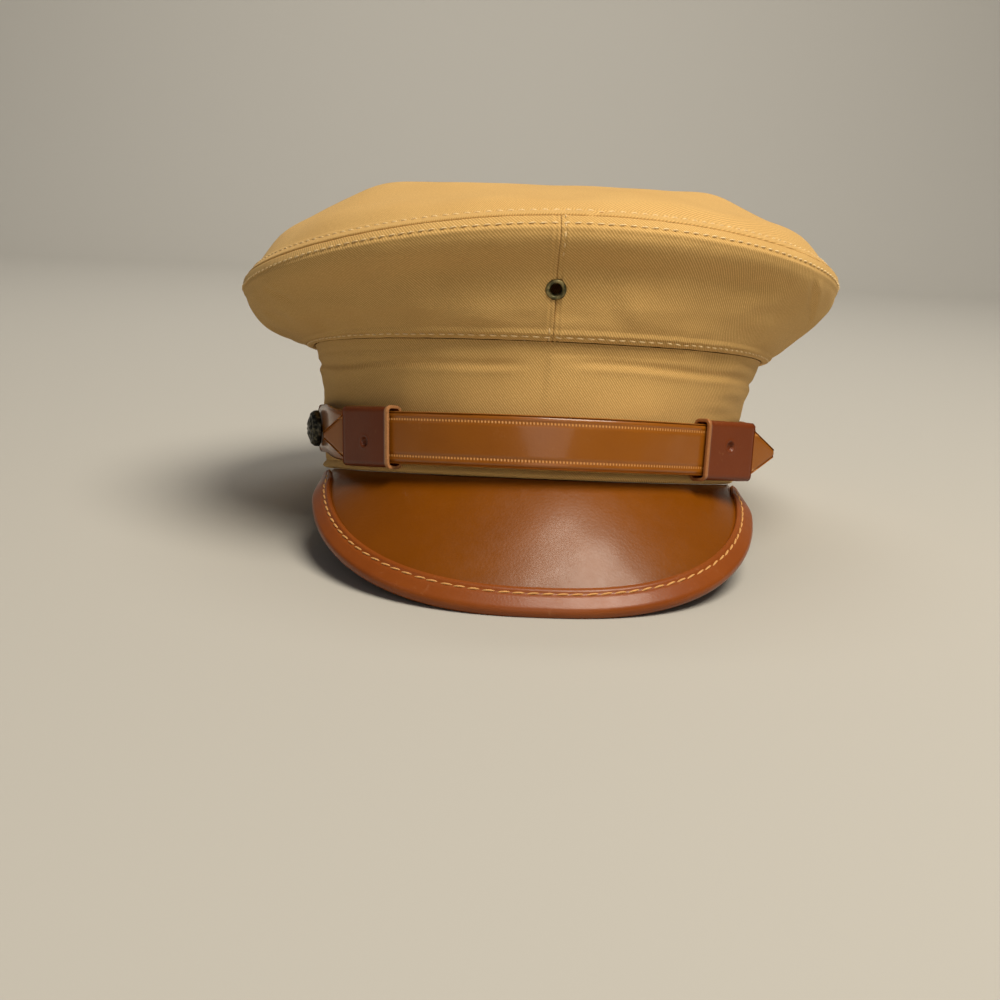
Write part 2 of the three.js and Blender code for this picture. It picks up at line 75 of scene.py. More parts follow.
def linear(colour):
    """An sRGB hex colour as linear red, green, blue and alpha."""
    parts = np.array([int(colour[i : i + 2], 16) for i in (1, 3, 5)]) / 255
    straight = np.where(parts <= 0.04045, parts / 12.92, ((parts + 0.055) / 1.055) ** 2.4)
    return (*straight.tolist(), 1.0)


def new_material(name):
    """A material with only its output: a function that adds a node, and one that joins a shader."""
    material = bpy.data.materials.new(name)
    material.use_nodes = True
    tree = material.node_tree
    tree.nodes.clear()

    def add(kind, inputs=None, **settings):
        """Adds one node with its settings. An input is a plain value or another node's socket."""
        new = tree.nodes.new("ShaderNode" + kind)
        for key, value in settings.items():
            setattr(new, key, value)
        for key, value in (inputs or {}).items():
            if isinstance(value, bpy.types.NodeSocket):
                tree.links.new(value, new.inputs[key])
            else:
                new.inputs[key].default_value = value
        return new

    output = add("OutputMaterial")

    def finish(shader):
        tree.links.new(shader.outputs["BSDF"], output.inputs["Surface"])
        return material

    return add, finish


def twill(name, slant):
    """Ribs at a slant to the cut of the cloth, broken by yarns, over a slow change of tone."""
    add, finish = new_material(name)
    chart = add("UVMap", uv_map="cut").outputs["UV"]
    slanted = add("Mapping", {"Vector": chart, "Rotation": (0, 0, math.radians(slant))})
    ribs = add("TexWave", {
        "Vector": slanted.outputs[0], "Scale": WAVE_PERIOD / TWILL_PITCH,
        "Distortion": 1.2, "Detail": 1.0, "Detail Scale": 1.6,
    })
    yarns = add("TexNoise", {"Vector": chart, "Scale": 1.1, "Detail": 3.0, "Roughness": 0.7})
    slow = add("TexNoise", {"Vector": chart, "Scale": 0.03, "Detail": 3.0})
    weave = add("Math", {0: ribs.outputs["Fac"], 1: yarns.outputs["Fac"]}, operation="MULTIPLY")
    shade = add("MapRange", {"Value": weave.outputs[0], "From Min": 0.02, "From Max": 0.6})
    thread = add("Mix", {
        0: shade.outputs[0], 6: linear("#b58e50"), 7: linear("#dfb673"),
    }, data_type="RGBA")
    aged = add("MapRange", {
        "Value": slow.outputs["Fac"], "From Min": 0.35, "From Max": 0.7, "To Max": 0.3,
    })
    tone = add("Mix", {
        0: aged.outputs[0], 6: thread.outputs[2], 7: linear("#b58c4e"),
    }, data_type="RGBA")
    relief = add("Bump", {"Height": weave.outputs[0], "Strength": 0.35, "Distance": 0.0003})
    return finish(add("BsdfPrincipled", {
        "Base Color": tone.outputs[2], "Normal": relief.outputs[0], "Roughness": 0.88,
        "Specular IOR Level": 0.25, "Sheen Weight": 0.12, "Sheen Roughness": 0.5,
        "Sheen Tint": linear("#ffe2b0"),
    }))


# Band
# A stiff band of two layers of twill round the head, 48.5 mm high and wider at the top. Its
# foot is turned under in a small roll, and it is creased where the crown bears on it.
HALF_LENGTH, HALF_WIDTH = 102.5, 85.0
BAND_HEIGHT, BAND_WALL = 48.5, 2.4
FLARE_SIDE, FLARE_END = 7.9, 3.0
SIDE_RISE, BAND_SHIFT = 1.6, 2.0
ROLL_HEIGHT = 3.0
FOLD_LOW, FOLD_MAIN, FOLD_HIGH = 38.2, 40.5, 44.6
BAND_AROUND, BAND_DOWN, BAND_UP = 480, 76, 14
twill_band = twill("cotton_twill_band", 42)


def smooth(value, low, high):
    """0 below low, 1 above high, and an S curve 3t^2 - 2t^3 between them."""
    t = np.clip((value - low) / (high - low), 0, 1)
    return t * t * (3 - 2 * t)


def hump(value, width):
    """A bell curve: 1 at zero, falling off over the width."""
    return np.exp(-((value / width) ** 2))


def lengths(points, axis):
    """Distance walked from the grid's start along one axis."""
    strides = np.linalg.norm(np.diff(points, axis=axis), axis=-1)
    start = np.zeros_like(np.take(strides, [0], axis=axis))
    return np.concatenate([start, np.cumsum(strides, axis=axis)], axis=axis)


def unit(vectors):
    """Vectors divided by their own lengths."""
    return vectors / np.linalg.norm(vectors, axis=-1, keepdims=True)


def ripples(u, v, seed, sizes, depth):
    """Soft unevenness in mm: a sum of long sine waves in random directions, from a fixed seed."""
    random = np.random.default_rng(seed)
    total = np.zeros(np.broadcast(u, v).shape)
    for size in np.linspace(*sizes, 14):
        turn, phase = random.uniform(0, 2 * math.pi, 2)
        total += np.sin((u * math.cos(turn) + v * math.sin(turn)) * 2 * math.pi / size + phase)
    return total * depth / math.sqrt(14)


def surface(name, points, chart, material, slot, replaced=(), ring=(False, False), wall=0, sharp=50,
            hole=None):
    """Quads between neighbouring rows and columns of a grid of points on the cap's level.

    A grid that closes on itself joins its last row or column to its first. The chart is the
    UV map in mm, with one more row or column than the points where the grid closes. A wall is
    grown inward from the faces. What would sink into the table is pressed flat on it. A hole is
    a place and a radius, and the faces within it are left out.
    """
    rows, columns = points.shape[:2]
    i, j = np.meshgrid(
        np.arange(rows - (not ring[0])), np.arange(columns - (not ring[1])), indexing="ij"
    )
    corners = [(i, j), (i + 1, j), (i + 1, j + 1), (i, j + 1)]
    faces = np.stack([(a % rows) * columns + b % columns for a, b in corners], axis=-1).reshape(-1, 4)
    loops = np.stack([chart[a, b] for a, b in corners], axis=-2).reshape(-1, 4, 2)
    if hole:
        middles = points.reshape(-1, 3)[faces].mean(axis=1)
        kept = np.linalg.norm(middles - hole[0], axis=1) > hole[1]
        faces, loops = faces[kept], loops[kept]
    placed = set_down(points).reshape(-1, 3)
    placed[:, 2] = np.maximum(placed[:, 2], 0)
    mesh = bpy.data.meshes.new(name)
    mesh.from_pydata(placed.tolist(), [], faces.tolist())
    mesh.uv_layers.new(name="cut").data.foreach_set("uv", loops.ravel())
    dress(name, mesh, material, replaced, wall, sharp)


def dress(name, mesh, material, replaced, wall=0, sharp=50):
    """Joins equal corners, smooths the faces, adds the wall, and gives the piece its place."""
    thing = bpy.data.objects.new(name, mesh)
    scene.collection.objects.link(thing)
    body = bmesh.new()
    body.from_mesh(mesh)
    bmesh.ops.remove_doubles(body, verts=body.verts, dist=2e-6)
    if not wall:
        bmesh.ops.recalc_face_normals(body, faces=body.faces)
    body.to_mesh(mesh)
    body.free()
    mesh.polygons.foreach_set("use_smooth", np.ones(len(mesh.polygons), bool))
    mesh.set_sharp_from_angle(angle=math.radians(sharp))
    mesh.materials.append(material)
    if wall:
        shell = thing.modifiers.new("wall", "SOLIDIFY")
        shell.thickness = wall / 1000
        shell.offset = -1
    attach(thing, "root")
    if replaced:
        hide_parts(*replaced)


def oval(angle, height, offset):
    """The head oval grown outward by an offset along its own normal; angle 0 is the front."""
    across = np.sin(angle) / HALF_WIDTH
    along = -np.cos(angle) / HALF_LENGTH
    size = np.hypot(across, along)
    x = HALF_WIDTH * np.sin(angle) + offset * across / size
    y = -HALF_LENGTH * np.cos(angle) + offset * along / size
    return np.stack(np.broadcast_arrays(x, y, height), axis=-1).astype(float)


def flare(angle, height):
    """How far the band stands out: most at the sides, growing as height to the power 2.5."""
    at_top = FLARE_END + (FLARE_SIDE - FLARE_END) * np.sin(angle) ** 2
    return at_top * np.clip(height / BAND_HEIGHT, 0, 1) ** 2.5


def band_top(angle):
    """The seam between band and crown rises a little at the sides."""
    return BAND_HEIGHT + SIDE_RISE * np.sin(angle) ** 2


def on_band(angle, height, offset):
    """A place at a height on the flared band, shifted to the wearer's left as it rises."""
    place = oval(angle, height * band_top(angle) / BAND_HEIGHT, flare(angle, height) + offset)
    place[..., 0] += BAND_SHIFT * np.clip(height / BAND_HEIGHT, 0, 1) ** 1.5
    return place


def band_points():
    """Outer face from the seam down, the rolled foot, and the inner face back up, as one ring."""
    angle = np.linspace(0, 2 * math.pi, BAND_AROUND, endpoint=False)[:, None]
    down = np.linspace(BAND_HEIGHT - 0.05, BAND_WALL / 2, BAND_DOWN)
    turn = np.linspace(0, math.pi, 12)[1:-1]
    up = np.linspace(BAND_WALL / 2, BAND_HEIGHT - 0.05, BAND_UP)
    height = np.concatenate([down, BAND_WALL / 2 * (1 - np.sin(turn)), up])[None, :]
    rolled = -BAND_WALL / 2 * (1 - np.cos(turn))
    inward = np.concatenate([np.zeros(BAND_DOWN), rolled, np.full(BAND_UP, -BAND_WALL)])
    outer = np.concatenate([np.ones(BAND_DOWN), np.cos(turn / 2) ** 2, np.zeros(BAND_UP)])[None, :]
    walk = angle * (HALF_LENGTH + HALF_WIDTH) / 2
    fade = smooth(np.abs(np.sin(angle / 2)), 0.02, 0.12)
    wander = 0.9 * np.sin(3 * angle + 0.6) + 0.5 * np.sin(7 * angle)
    crease = -0.85 * fade * hump(height - FOLD_MAIN - wander, 1.5)
    crease += 0.35 * fade * hump(height - FOLD_LOW - wander, 1.4)
    crease -= 0.35 * hump(height - FOLD_HIGH, 0.9) * smooth(np.sin(angle * 2.5 + 1), 0, 1)
    side_folds = smooth(np.abs(np.sin(angle)), 0.55, 0.9) * ripples(walk * 0.12, height, 3, (4, 11), 0.22)
    roll = 0.8 * hump(height - 1.2, 1.1) - 0.4 * hump(height - ROLL_HEIGHT, 0.45)
    relief = crease + side_folds + roll + ripples(walk, height, 5, (18, 60), 0.22)
    points = on_band(angle, height, inward[None, :] + outer * relief)
    around = np.concatenate([walk[:, 0], [2 * math.pi * (HALF_LENGTH + HALF_WIDTH) / 2]])
    across = lengths(points[:1], 1)[0]
    across = np.append(across, across[-1] + BAND_WALL)
    return points, np.stack(np.meshgrid(around, across, indexing="ij"), axis=-1)


band_grid, band_chart = band_points()
surface("band_cloth", band_grid, band_chart, twill_band, "khaki_twill", ["band"],
        ring=(True, True), sharp=60)


# Crown sides
# Two side panels sewn together at the front and the back. They sweep out from the band's seam
# to the welt, pushed in over the eyelet, and their seam allowances are stitched down flat.
OVERHANG_FRONT, OVERHANG_SIDE, OVERHANG_BACK = 21.5, 29.8, 24.0
WELT_FRONT, WELT_SIDE, WELT_BACK = 41.5, 29.5, 28.5
CROWN_HEIGHT, CROWN_LEAN, CLOTH_WALL, GAP = 69.5, 4.2, 1.6, 0.3
SEAM_STITCH, WELT_STITCH, FOOT_STITCH = 1.6, 4.6, 3.3
HOLLOW_DEPTH, LOBE_DEPTH, LIP_HEIGHT = 3.0, 1.6, 0.9
FINE_EDGE, FINE_STEP = 8.0, 0.35
crown_section = {
    "front_out": [0.00, 0.19, 0.35, 0.45, 0.50, 0.58, 0.75, 0.91, 0.98, 0.87],
    "front_up": [0.000, 0.050, 0.120, 0.215, 0.335, 0.470, 0.600, 0.735, 0.870, 1.000],
    "side_out": [0.00, 0.18, 0.36, 0.53, 0.68, 0.81, 0.91, 0.97, 1.00, 0.98],
    "side_up": [0.00, 0.07, 0.17, 0.27, 0.37, 0.49, 0.62, 0.75, 0.88, 1.00],
}


def normals(points, ring=(False, False)):
    """Unit normals of a grid: the step along the rows crossed with the step along the columns."""
    steps = []
    for axis in (0, 1):
        if ring[axis]:
            steps.append(np.roll(points, -1, axis) - np.roll(points, 1, axis))
        else:
            steps.append(np.gradient(points, axis=axis))
    crossed = np.cross(steps[0], steps[1])
    return crossed / np.maximum(np.linalg.norm(crossed, axis=-1, keepdims=True), 1e-9)


def fine_ends(whole, edge, fine, coarse):
    """Shares from 0 to 1 over a whole length: fine steps within the edge of both ends."""
    ends = np.arange(0, edge, fine)
    middle = np.linspace(edge, whole - edge, max(int((whole - 2 * edge) / coarse), 2))
    return np.concatenate([ends, middle, whole - ends[::-1]]) / whole


def read(values, share):
    """A Catmull-Rom curve through evenly spaced values, read at a share 0 to 1."""
    last = len(values) - 1
    place = np.clip(share, 0, 1) * last
    first = np.clip(np.floor(place).astype(int), 0, last - 1)
    values = np.pad(values, 1, mode="edge")
    t = place - first
    a, b, c, d = (values[first + k] for k in range(4))
    leave, arrive = (c - a) / 2, (d - b) / 2
    cubic = (2 * b - 2 * c + leave + arrive) * t**3 + (3 * c - 3 * b - 2 * leave - arrive) * t**2
    return cubic + leave * t + b


def round_cap(angle, front, side, back):
    """A size that goes from its front value through the side's to the back's."""
    end = np.where(np.cos(angle) > 0, front, back)
    return side + (end - side) * np.cos(angle) ** 2


def crown_side(angle, share):
    """A place on the crown's side: share 0 on the band's seam, 1 on the welt."""
    angle, share = np.broadcast_arrays(angle, share)
    front = np.maximum(np.cos(angle), 0) ** 2
    out, up = (
        front * read(crown_section[f"front_{way}"], share)
        + (1 - front) * read(crown_section[f"side_{way}"], share)
        for way in ("out", "up")
    )
    offset = flare(angle, BAND_HEIGHT) + out * round_cap(angle, OVERHANG_FRONT, OVERHANG_SIDE, OVERHANG_BACK)
    height = band_top(angle) + GAP + up * round_cap(angle, WELT_FRONT, WELT_SIDE, WELT_BACK)
    place = oval(angle, height, offset)
    place[..., 0] += BAND_SHIFT
    place[..., 2] += CROWN_LEAN * place[..., 0] / (HALF_WIDTH + OVERHANG_SIDE) * smooth(share, 0, 0.45)
    return place


def seam_edge(distance, stitched, height=0.5, sunk=1.0):
    """Relief beside a seam: the edge turns in, the folded allowance stands up as far as its
    stitches and a little past them, and the stitches pull a shallow channel."""
    allowance = height * (1 - smooth(distance, stitched + 0.7, stitched + 2.4))
    return allowance - sunk * hump(distance, 0.5) - 0.3 * hump(distance - stitched, 0.5)


# The column of a side panel's grid along which distances from the front seam are measured.
WALK_COLUMN = 40

# Creases of the crown's side: angle in degrees and share at the middle, half length and width
# in mm, direction in degrees from the level, and depth in mm.
side_creases = [
    {"angle": -62, "share": 0.66, "half": 7, "width": 1.6, "turn": -35, "depth": 0.9},
    {"angle": -70, "share": 0.50, "half": 9, "width": 2.4, "turn": -20, "depth": 0.7},
    {"angle": -48, "share": 0.30, "half": 12, "width": 3.0, "turn": -12, "depth": 0.6},
    {"angle": 60, "share": 0.72, "half": 9, "width": 1.3, "turn": -28, "depth": 0.7},
    {"angle": 64, "share": 0.66, "half": 9, "width": 1.3, "turn": -28, "depth": 0.7},
    {"angle": 68, "share": 0.60, "half": 9, "width": 1.4, "turn": -28, "depth": 0.6},
    {"angle": 52, "share": 0.42, "half": 16, "width": 4.0, "turn": 12, "depth": 0.8},
    {"angle": 12, "share": 0.28, "half": 8, "width": 3.5, "turn": -65, "depth": 0.6},
    {"angle": 130, "share": 0.55, "half": 14, "width": 2.5, "turn": -18, "depth": 0.7},
    {"angle": -135, "share": 0.50, "half": 13, "width": 2.6, "turn": 20, "depth": 0.7},
]


def side_panel(side):
    """One side panel, from the front seam to the back seam of its side. Its front is drawn in to
    a hollow under the lip of the welt and to a flatter lobe over the band."""
    mean = HALF_LENGTH + OVERHANG_FRONT
    shares = fine_ends(WELT_SIDE + OVERHANG_SIDE, FINE_EDGE, FINE_STEP, coarse=1.1)
    turns = fine_ends(math.pi * mean, edge=4.5, fine=0.45, coarse=1.7)
    angle = side * (0.0002 + turns * (math.pi - 0.0004))[:, None]
    level = shares[None, :] * 0.9985
    grid = crown_side(angle, level)
    across, down = lengths(grid, 0), lengths(grid, 1)
    to_welt = down[:, -1:] - down
    to_back = across[-1:] - across
    relief = seam_edge(to_welt, WELT_STITCH) + seam_edge(down, FOOT_STITCH, 0.9)
    relief += seam_edge(across, SEAM_STITCH, 0.2, 0.35) + seam_edge(to_back, SEAM_STITCH, 0.2, 0.35)
    middle = across[:, WALK_COLUMN : WALK_COLUMN + 1]
    share = down / down[:, -1:]
    near_front = 1 - smooth(np.abs(angle), 0.7, 1.35)
    hollow = (1 - smooth(share, 0.55, 0.82)) * smooth(share, 0, 0.45)
    lobe, lip = hump(share - 0.2, 0.14), hump(share - 0.86, 0.08)
    relief -= near_front * (HOLLOW_DEPTH * hollow + LOBE_DEPTH * lobe - LIP_HEIGHT * lip)
    calm = smooth(to_welt, 3, 14) * smooth(down, 3, 12)
    for crease in side_creases:
        if crease["angle"] * side < 0:
            continue
        row = np.argmin(np.abs(np.degrees(angle[:, 0]) - crease["angle"]))
        u = middle - middle[row]
        v = down - crease["share"] * down[:, -1:]
        turn = math.radians(crease["turn"] * side)
        forward = u * math.cos(turn) + v * math.sin(turn)
        aside = v * math.cos(turn) - u * math.sin(turn)
        bell = np.exp(-((forward / crease["half"]) ** 4))
        width = crease["width"]
        dent = hump(aside, width) - 0.5 * hump(aside - 2 * width, width)
        relief -= crease["depth"] * bell * dent
    relief += calm * ripples(middle, down * 1.3, 11 + side, (22, 80), 0.45)
    relief += ripples(middle, down * 1.2, 21 + side, (7, 16), 0.06)
    facing = normals(grid) * side
    chart = np.stack([middle + 0 * down, down], axis=-1)
    return grid + facing * relief[..., None], chart


# The eyelet's place on the front seam, sunk as far as the cloth is drawn in there, where both
# panels are cut away for it.
EYELET_HEIGHT, EYELET_RADIUS, EYELET_BORE, EYELET_SUNK = 66.0, 3.7, 2.1, 2.6
levels = np.linspace(0, 1, 400)
eyelet_share = levels[np.argmax(crown_side(0.0, levels)[:, 2] >= EYELET_HEIGHT)]
eyelet_spot = crown_side(0.0, eyelet_share) + (0, EYELET_SUNK, 0)
eyelet_slope = crown_side(0.0, eyelet_share + 0.004) - crown_side(0.0, eyelet_share - 0.004)
eyelet_up = unit(np.cross((1.0, 0, 0), eyelet_slope))

for side, name, slant in ((-1, "right", 45), (1, "left", -45)):
    grid, chart = side_panel(side)
    surface(
        f"crown_side_{name}_cloth", grid[::side], chart[::side], twill(f"cotton_twill_{name}", slant),
        "khaki_twill", [f"crown_side_{name}"], wall=CLOTH_WALL, hole=(eyelet_spot, EYELET_RADIUS - 0.9),
    )


# Crown top
# One oval panel sewn to the sides in the welt. It is stretched by the stiffening round its
# edge, so that it slopes up from the front and has a shoulder at each side.
TOP_AROUND, TOP_INWARD = 420, 62
top_fall = {
    "front": [0.00, 0.01, 0.03, 0.08, 0.16, 0.26, 0.37, 0.48, 0.60, 0.74, 1.00],
    "side": [0.00, 0.00, 0.00, 0.00, 0.00, 0.01, 0.05, 0.21, 0.40, 0.60, 1.00],
}


def crown_top(angle, share):
    """A place on the top panel: share 0 on the welt, 1 at the middle."""
    angle, share = np.broadcast_arrays(angle, share)
    welt = crown_side(angle, 1.0)
    outward = 1 - share
    front = np.maximum(np.cos(angle), 0) ** 2
    fall = front * read(top_fall["front"], outward) + (1 - front) * read(top_fall["side"], outward)
    whole = BAND_HEIGHT + CROWN_HEIGHT - band_top(angle) - round_cap(angle, WELT_FRONT, WELT_SIDE, WELT_BACK)
    lean = CROWN_LEAN * welt[..., 0] / (HALF_WIDTH + OVERHANG_SIDE)
    x = BAND_SHIFT + (welt[..., 0] - BAND_SHIFT) * outward
    z = BAND_HEIGHT + GAP + CROWN_HEIGHT - whole * fall + lean * outward**3
    return np.stack([x, welt[..., 1] * outward, z], axis=-1)


def top_panel():
    """The top panel with its stitched edge, a little tuck at the front, and soft hollows."""
    half = HALF_WIDTH + OVERHANG_SIDE
    edge = np.arange(0.2, FINE_EDGE, FINE_STEP)
    shares = np.concatenate([edge, np.linspace(FINE_EDGE, half, TOP_INWARD)]) / half
    shares[-1] = 1
    angle = np.linspace(-math.pi, math.pi, TOP_AROUND, endpoint=False)[:, None]
    grid = crown_top(angle, shares[None, :])
    down = lengths(grid, 1)
    x, y = grid[..., 0], grid[..., 1]
    relief = seam_edge(down + 0.2, WELT_STITCH, 0.5)
    tuck = hump((angle - 0.09) * 120 - down * 1.6, 1.5) * hump(down - 2.5, 2.6)
    relief -= 0.8 * tuck
    relief += smooth(down, 6, 20) * (1 - smooth(shares, 0.93, 1.0)) * ripples(x, y, 31, (35, 110), 0.6)
    facing = normals(grid, (True, False))
    facing[:, -1] = (0, 0, 1)
    placed = grid + facing * relief[..., None]
    chart = np.stack([x, y], axis=-1)
    return placed, np.concatenate([chart, chart[:1]])


top_grid, top_chart = top_panel()
surface("crown_top_cloth", top_grid, top_chart, twill("cotton_twill_top", 38), "khaki_twill",
        ["crown_top"], ring=(True, False), wall=CLOTH_WALL)


# Seam stitches
# The seams are topstitched by machine with a paler cotton thread, one stitch every 3.9 mm.
# Each stitch is a short soft thread that dips into the cloth at both ends.
STITCH_PITCH, STITCH_LENGTH, STITCH_THICK = 3.9, 2.8, 0.66
STITCH_STEPS, STITCH_SIDES = 7, 6


def thread(name, colour):
    """Twisted cotton or linen thread: matt, with a fine change of tone along it."""
    add, finish = new_material(name)
    place = add("TexCoord").outputs["Object"]
    twist = add("TexNoise", {"Vector": place, "Scale": 900.0, "Detail": 2.0})
    tone = add("Mix", {
        0: twist.outputs["Fac"], 6: linear(colour), 7: linear("#b98f56"),
    }, data_type="RGBA")
    return finish(add("BsdfPrincipled", {
        "Base Color": tone.outputs[2], "Roughness": 0.8,
    }))


def stitches(name, path, facing, pitch, size, thick, material, slot, tilt=0.0):
    """Short threads along a path: each is a spindle of 6 sides that bows out of the surface by
    its own sine arch. The path is walked at an even pitch, and tilt turns each one sideways."""
    walked = lengths(path, 0)
    middles = np.arange(pitch / 2, walked[-1], pitch)
    spread = np.random.default_rng(len(path)).uniform(-1, 1, (3, len(middles)))
    middles = middles + spread[0] * 0.06 * pitch
    spot = np.stack([np.interp(middles, walked, path[:, k]) for k in range(3)], axis=-1)
    ahead = np.stack([np.interp(middles + 0.5, walked, path[:, k]) for k in range(3)], axis=-1) - spot
    up = unit(np.stack([np.interp(middles, walked, facing[:, k]) for k in range(3)], axis=-1))
    ahead = unit(ahead - up * np.sum(ahead * up, axis=-1, keepdims=True))
    aside = np.cross(up, ahead)
    lean = (tilt + spread[1] * 0.05)[:, None]
    ahead, aside = ahead + aside * lean, aside - ahead * lean
    step = np.linspace(-1, 1, STITCH_STEPS)
    turn = np.linspace(0, 2 * math.pi, STITCH_SIDES, endpoint=False)
    girth = thick / 2 * np.sqrt(np.clip(1.02 - step**2, 0.02, 1))
    along = step[:, None] * size / 2 + 0 * turn
    sideways = girth[:, None] * np.cos(turn)
    rise = girth[:, None] * np.sin(turn) + (thick * 0.45 * (1 - step**2))[:, None] - thick * 0.2
    shape = [part.reshape(1, -1, 1) for part in (along, sideways, rise)]
    points = spot[:, None] + ahead[:, None] * shape[0] + aside[:, None] * shape[1] + up[:, None] * shape[2]
    sides, corners = STITCH_SIDES, STITCH_STEPS * STITCH_SIDES
    ring, j = np.meshgrid(np.arange(STITCH_STEPS - 1) * sides, np.arange(sides), indexing="ij")
    after = (j + 1) % sides
    one = np.stack([ring + j, ring + after, ring + sides + after, ring + sides + j], axis=-1)
    starts = corners * np.arange(len(middles))
    faces = (one.reshape(1, -1, 4) + starts[:, None, None]).reshape(-1, 4).tolist()
    for start in starts.tolist():
        faces.append(list(range(start, start + sides))[::-1])
        faces.append(list(range(start + corners - sides, start + corners)))
    mesh = bpy.data.meshes.new(name)
    placed = set_down(points.reshape(-1, 3))
    placed[:, 2] = np.maximum(placed[:, 2], 0.0001)
    mesh.from_pydata(placed.tolist(), [], faces)
    dress(name, mesh, material, ())


cotton_thread = thread("cotton_thread", "#ffe6ae")


def row_on(grid, facing, distances, wanted):
    """The line on a grid that keeps a wanted distance along the second axis, and its normals."""
    return [
        np.array([[np.interp(wanted, *pair) for pair in zip(distances, values[..., k])] for k in range(3)]).T
        for values in (grid, facing)
    ]


top_facing = normals(top_grid, (True, False))
top_rows = row_on(top_grid, top_facing, lengths(top_grid, 1), WELT_STITCH - 0.2)
stitches("welt_stitches_top", *(np.concatenate([row, row[:1]]) for row in top_rows),
         STITCH_PITCH, STITCH_LENGTH, STITCH_THICK, cotton_thread, "khaki_twill", tilt=0.12)
# The front seam is topstitched on the left panel above the eyelet and on the right one below
# it: the rows of each panel's grid that its stitches run over.
SEAM_ROWS = {-1: slice(2, 24), 1: slice(52, None)}
for side, name in ((-1, "right"), (1, "left")):
    grid, _ = side_panel(side)
    facing = normals(grid) * side
    down = lengths(grid, 1)
    flipped, flipped_facing = grid[:, ::-1], facing[:, ::-1]
    welt_row = row_on(flipped, flipped_facing, down[:, -1:] - down[:, ::-1], WELT_STITCH)
    foot_row = row_on(grid, facing, down, FOOT_STITCH)
    for place, line, tilt in (("welt", welt_row, 0.12), ("foot", foot_row, -0.08)):
        stitches(f"{place}_stitches_{name}", *line, STITCH_PITCH, STITCH_LENGTH, STITCH_THICK,
                 cotton_thread, "khaki_twill", tilt=tilt)
    seam = int(np.argmin(np.abs(lengths(grid, 0)[:, WALK_COLUMN] - SEAM_STITCH)))
    keep = SEAM_ROWS[side]
    stitches(f"front_seam_stitches_{name}", grid[seam, keep], facing[seam, keep], STITCH_PITCH,
             STITCH_LENGTH * 0.8, STITCH_THICK * 0.9, cotton_thread, "khaki_twill")


# Front eyelet
# A small rolled brass eyelet set in the front seam for a badge, gone green-brown with age.


def metal(name, bright, tarnish, roughness, cover):
    """Old brass: bare metal and a dull tarnish in patches that change at random."""
    add, finish = new_material(name)
    place = add("TexCoord").outputs["Object"]
    spots = add("TexNoise", {"Vector": place, "Scale": 700.0, "Detail": 4.0})
    share = add("MapRange", {
        "Value": spots.outputs["Fac"], "From Min": cover - 0.12, "From Max": cover + 0.12,
    })
    tone = add("Mix", {
        0: share.outputs[0], 6: linear(tarnish), 7: linear(bright),
    }, data_type="RGBA")
    relief = add("Bump", {
        "Height": spots.outputs["Fac"], "Strength": 0.3, "Distance": 0.0002,
    })
    return finish(add("BsdfPrincipled", {
        "Base Color": tone.outputs[2], "Normal": relief.outputs[0], "Metallic": 0.85,
        "Roughness": roughness,
    }))


def frame_at(spot, up):
    """Two directions across a surface's normal: level, and up the slope."""
    level = unit(np.cross((0, 0, 1.0), up))
    return spot, level, np.cross(up, level), up


def turned_shape(name, profile, place, material, slot, replaced, closed=False, relief=None, steps=96):
    """A profile of radius and height turned about a normal. Relief adds height by radius and turn."""
    spot, level, slope, up = place
    turn = np.linspace(0, 2 * math.pi, steps, endpoint=False)[:, None]
    radius, height = np.array(profile, float).T[:, None, :]
    height = height + (relief(radius, turn) if relief else 0 * turn)
    radius = radius + 0 * turn
    points = spot + radius[..., None] * (np.cos(turn)[..., None] * level + np.sin(turn)[..., None] * slope)
    points = points + height[..., None] * up
    chart = np.stack(np.broadcast_arrays(turn * 5, np.arange(radius.shape[1])), axis=-1)
    chart = np.concatenate([chart, chart[:1]])
    if closed:
        chart = np.concatenate([chart, chart[:, :1]], axis=1)
    surface(name, points, chart, material, slot, replaced, ring=(True, closed), sharp=35)


EYELET_BACK = CLOTH_WALL + GAP + 0.6
ring_turn = np.linspace(-0.15, 1.0, 16) * math.pi
ring_middle = (EYELET_RADIUS + EYELET_BORE) / 2
ring_half = (EYELET_RADIUS - EYELET_BORE) / 2
eyelet_profile = [(ring_middle + ring_half * math.cos(t), 0.15 + 0.8 * math.sin(t)) for t in ring_turn]
eyelet_profile += [(EYELET_BORE, -EYELET_BACK), (EYELET_RADIUS, -EYELET_BACK)]
eyelet_profile += [(EYELET_RADIUS, 0.5 - EYELET_BACK)]
eyelet_profile += [(EYELET_BORE + 0.6, 0.5 - EYELET_BACK), (EYELET_BORE + 0.6, -0.3)]
turned_shape("eyelet_ring", eyelet_profile, frame_at(eyelet_spot, eyelet_up),
             metal("tarnished_brass", "#8f8258", "#4c4a33", 0.42, 0.5), "aged_brass", ["front_eyelet"],
             closed=True)


# Visor
# One piece of thick harness leather, wetted, pressed to a slight swell and polished. It is
# sewn under the band's foot and falls steeply to its bound edge.
VISOR_WALL, VISOR_ANGLE, VISOR_HALF_WIDTH, VISOR_REACH = 2.2, math.radians(68), 83.3, 30.0
VISOR_DROP, VISOR_END_BACK, VISOR_END_DROP, VISOR_END_PULL = 43.8, 37.0, 2.6, 3.2
VISOR_SWELL, VISOR_SQUARENESS = 1.6, 2.4
VISOR_AROUND, VISOR_DOWN = 241, 64


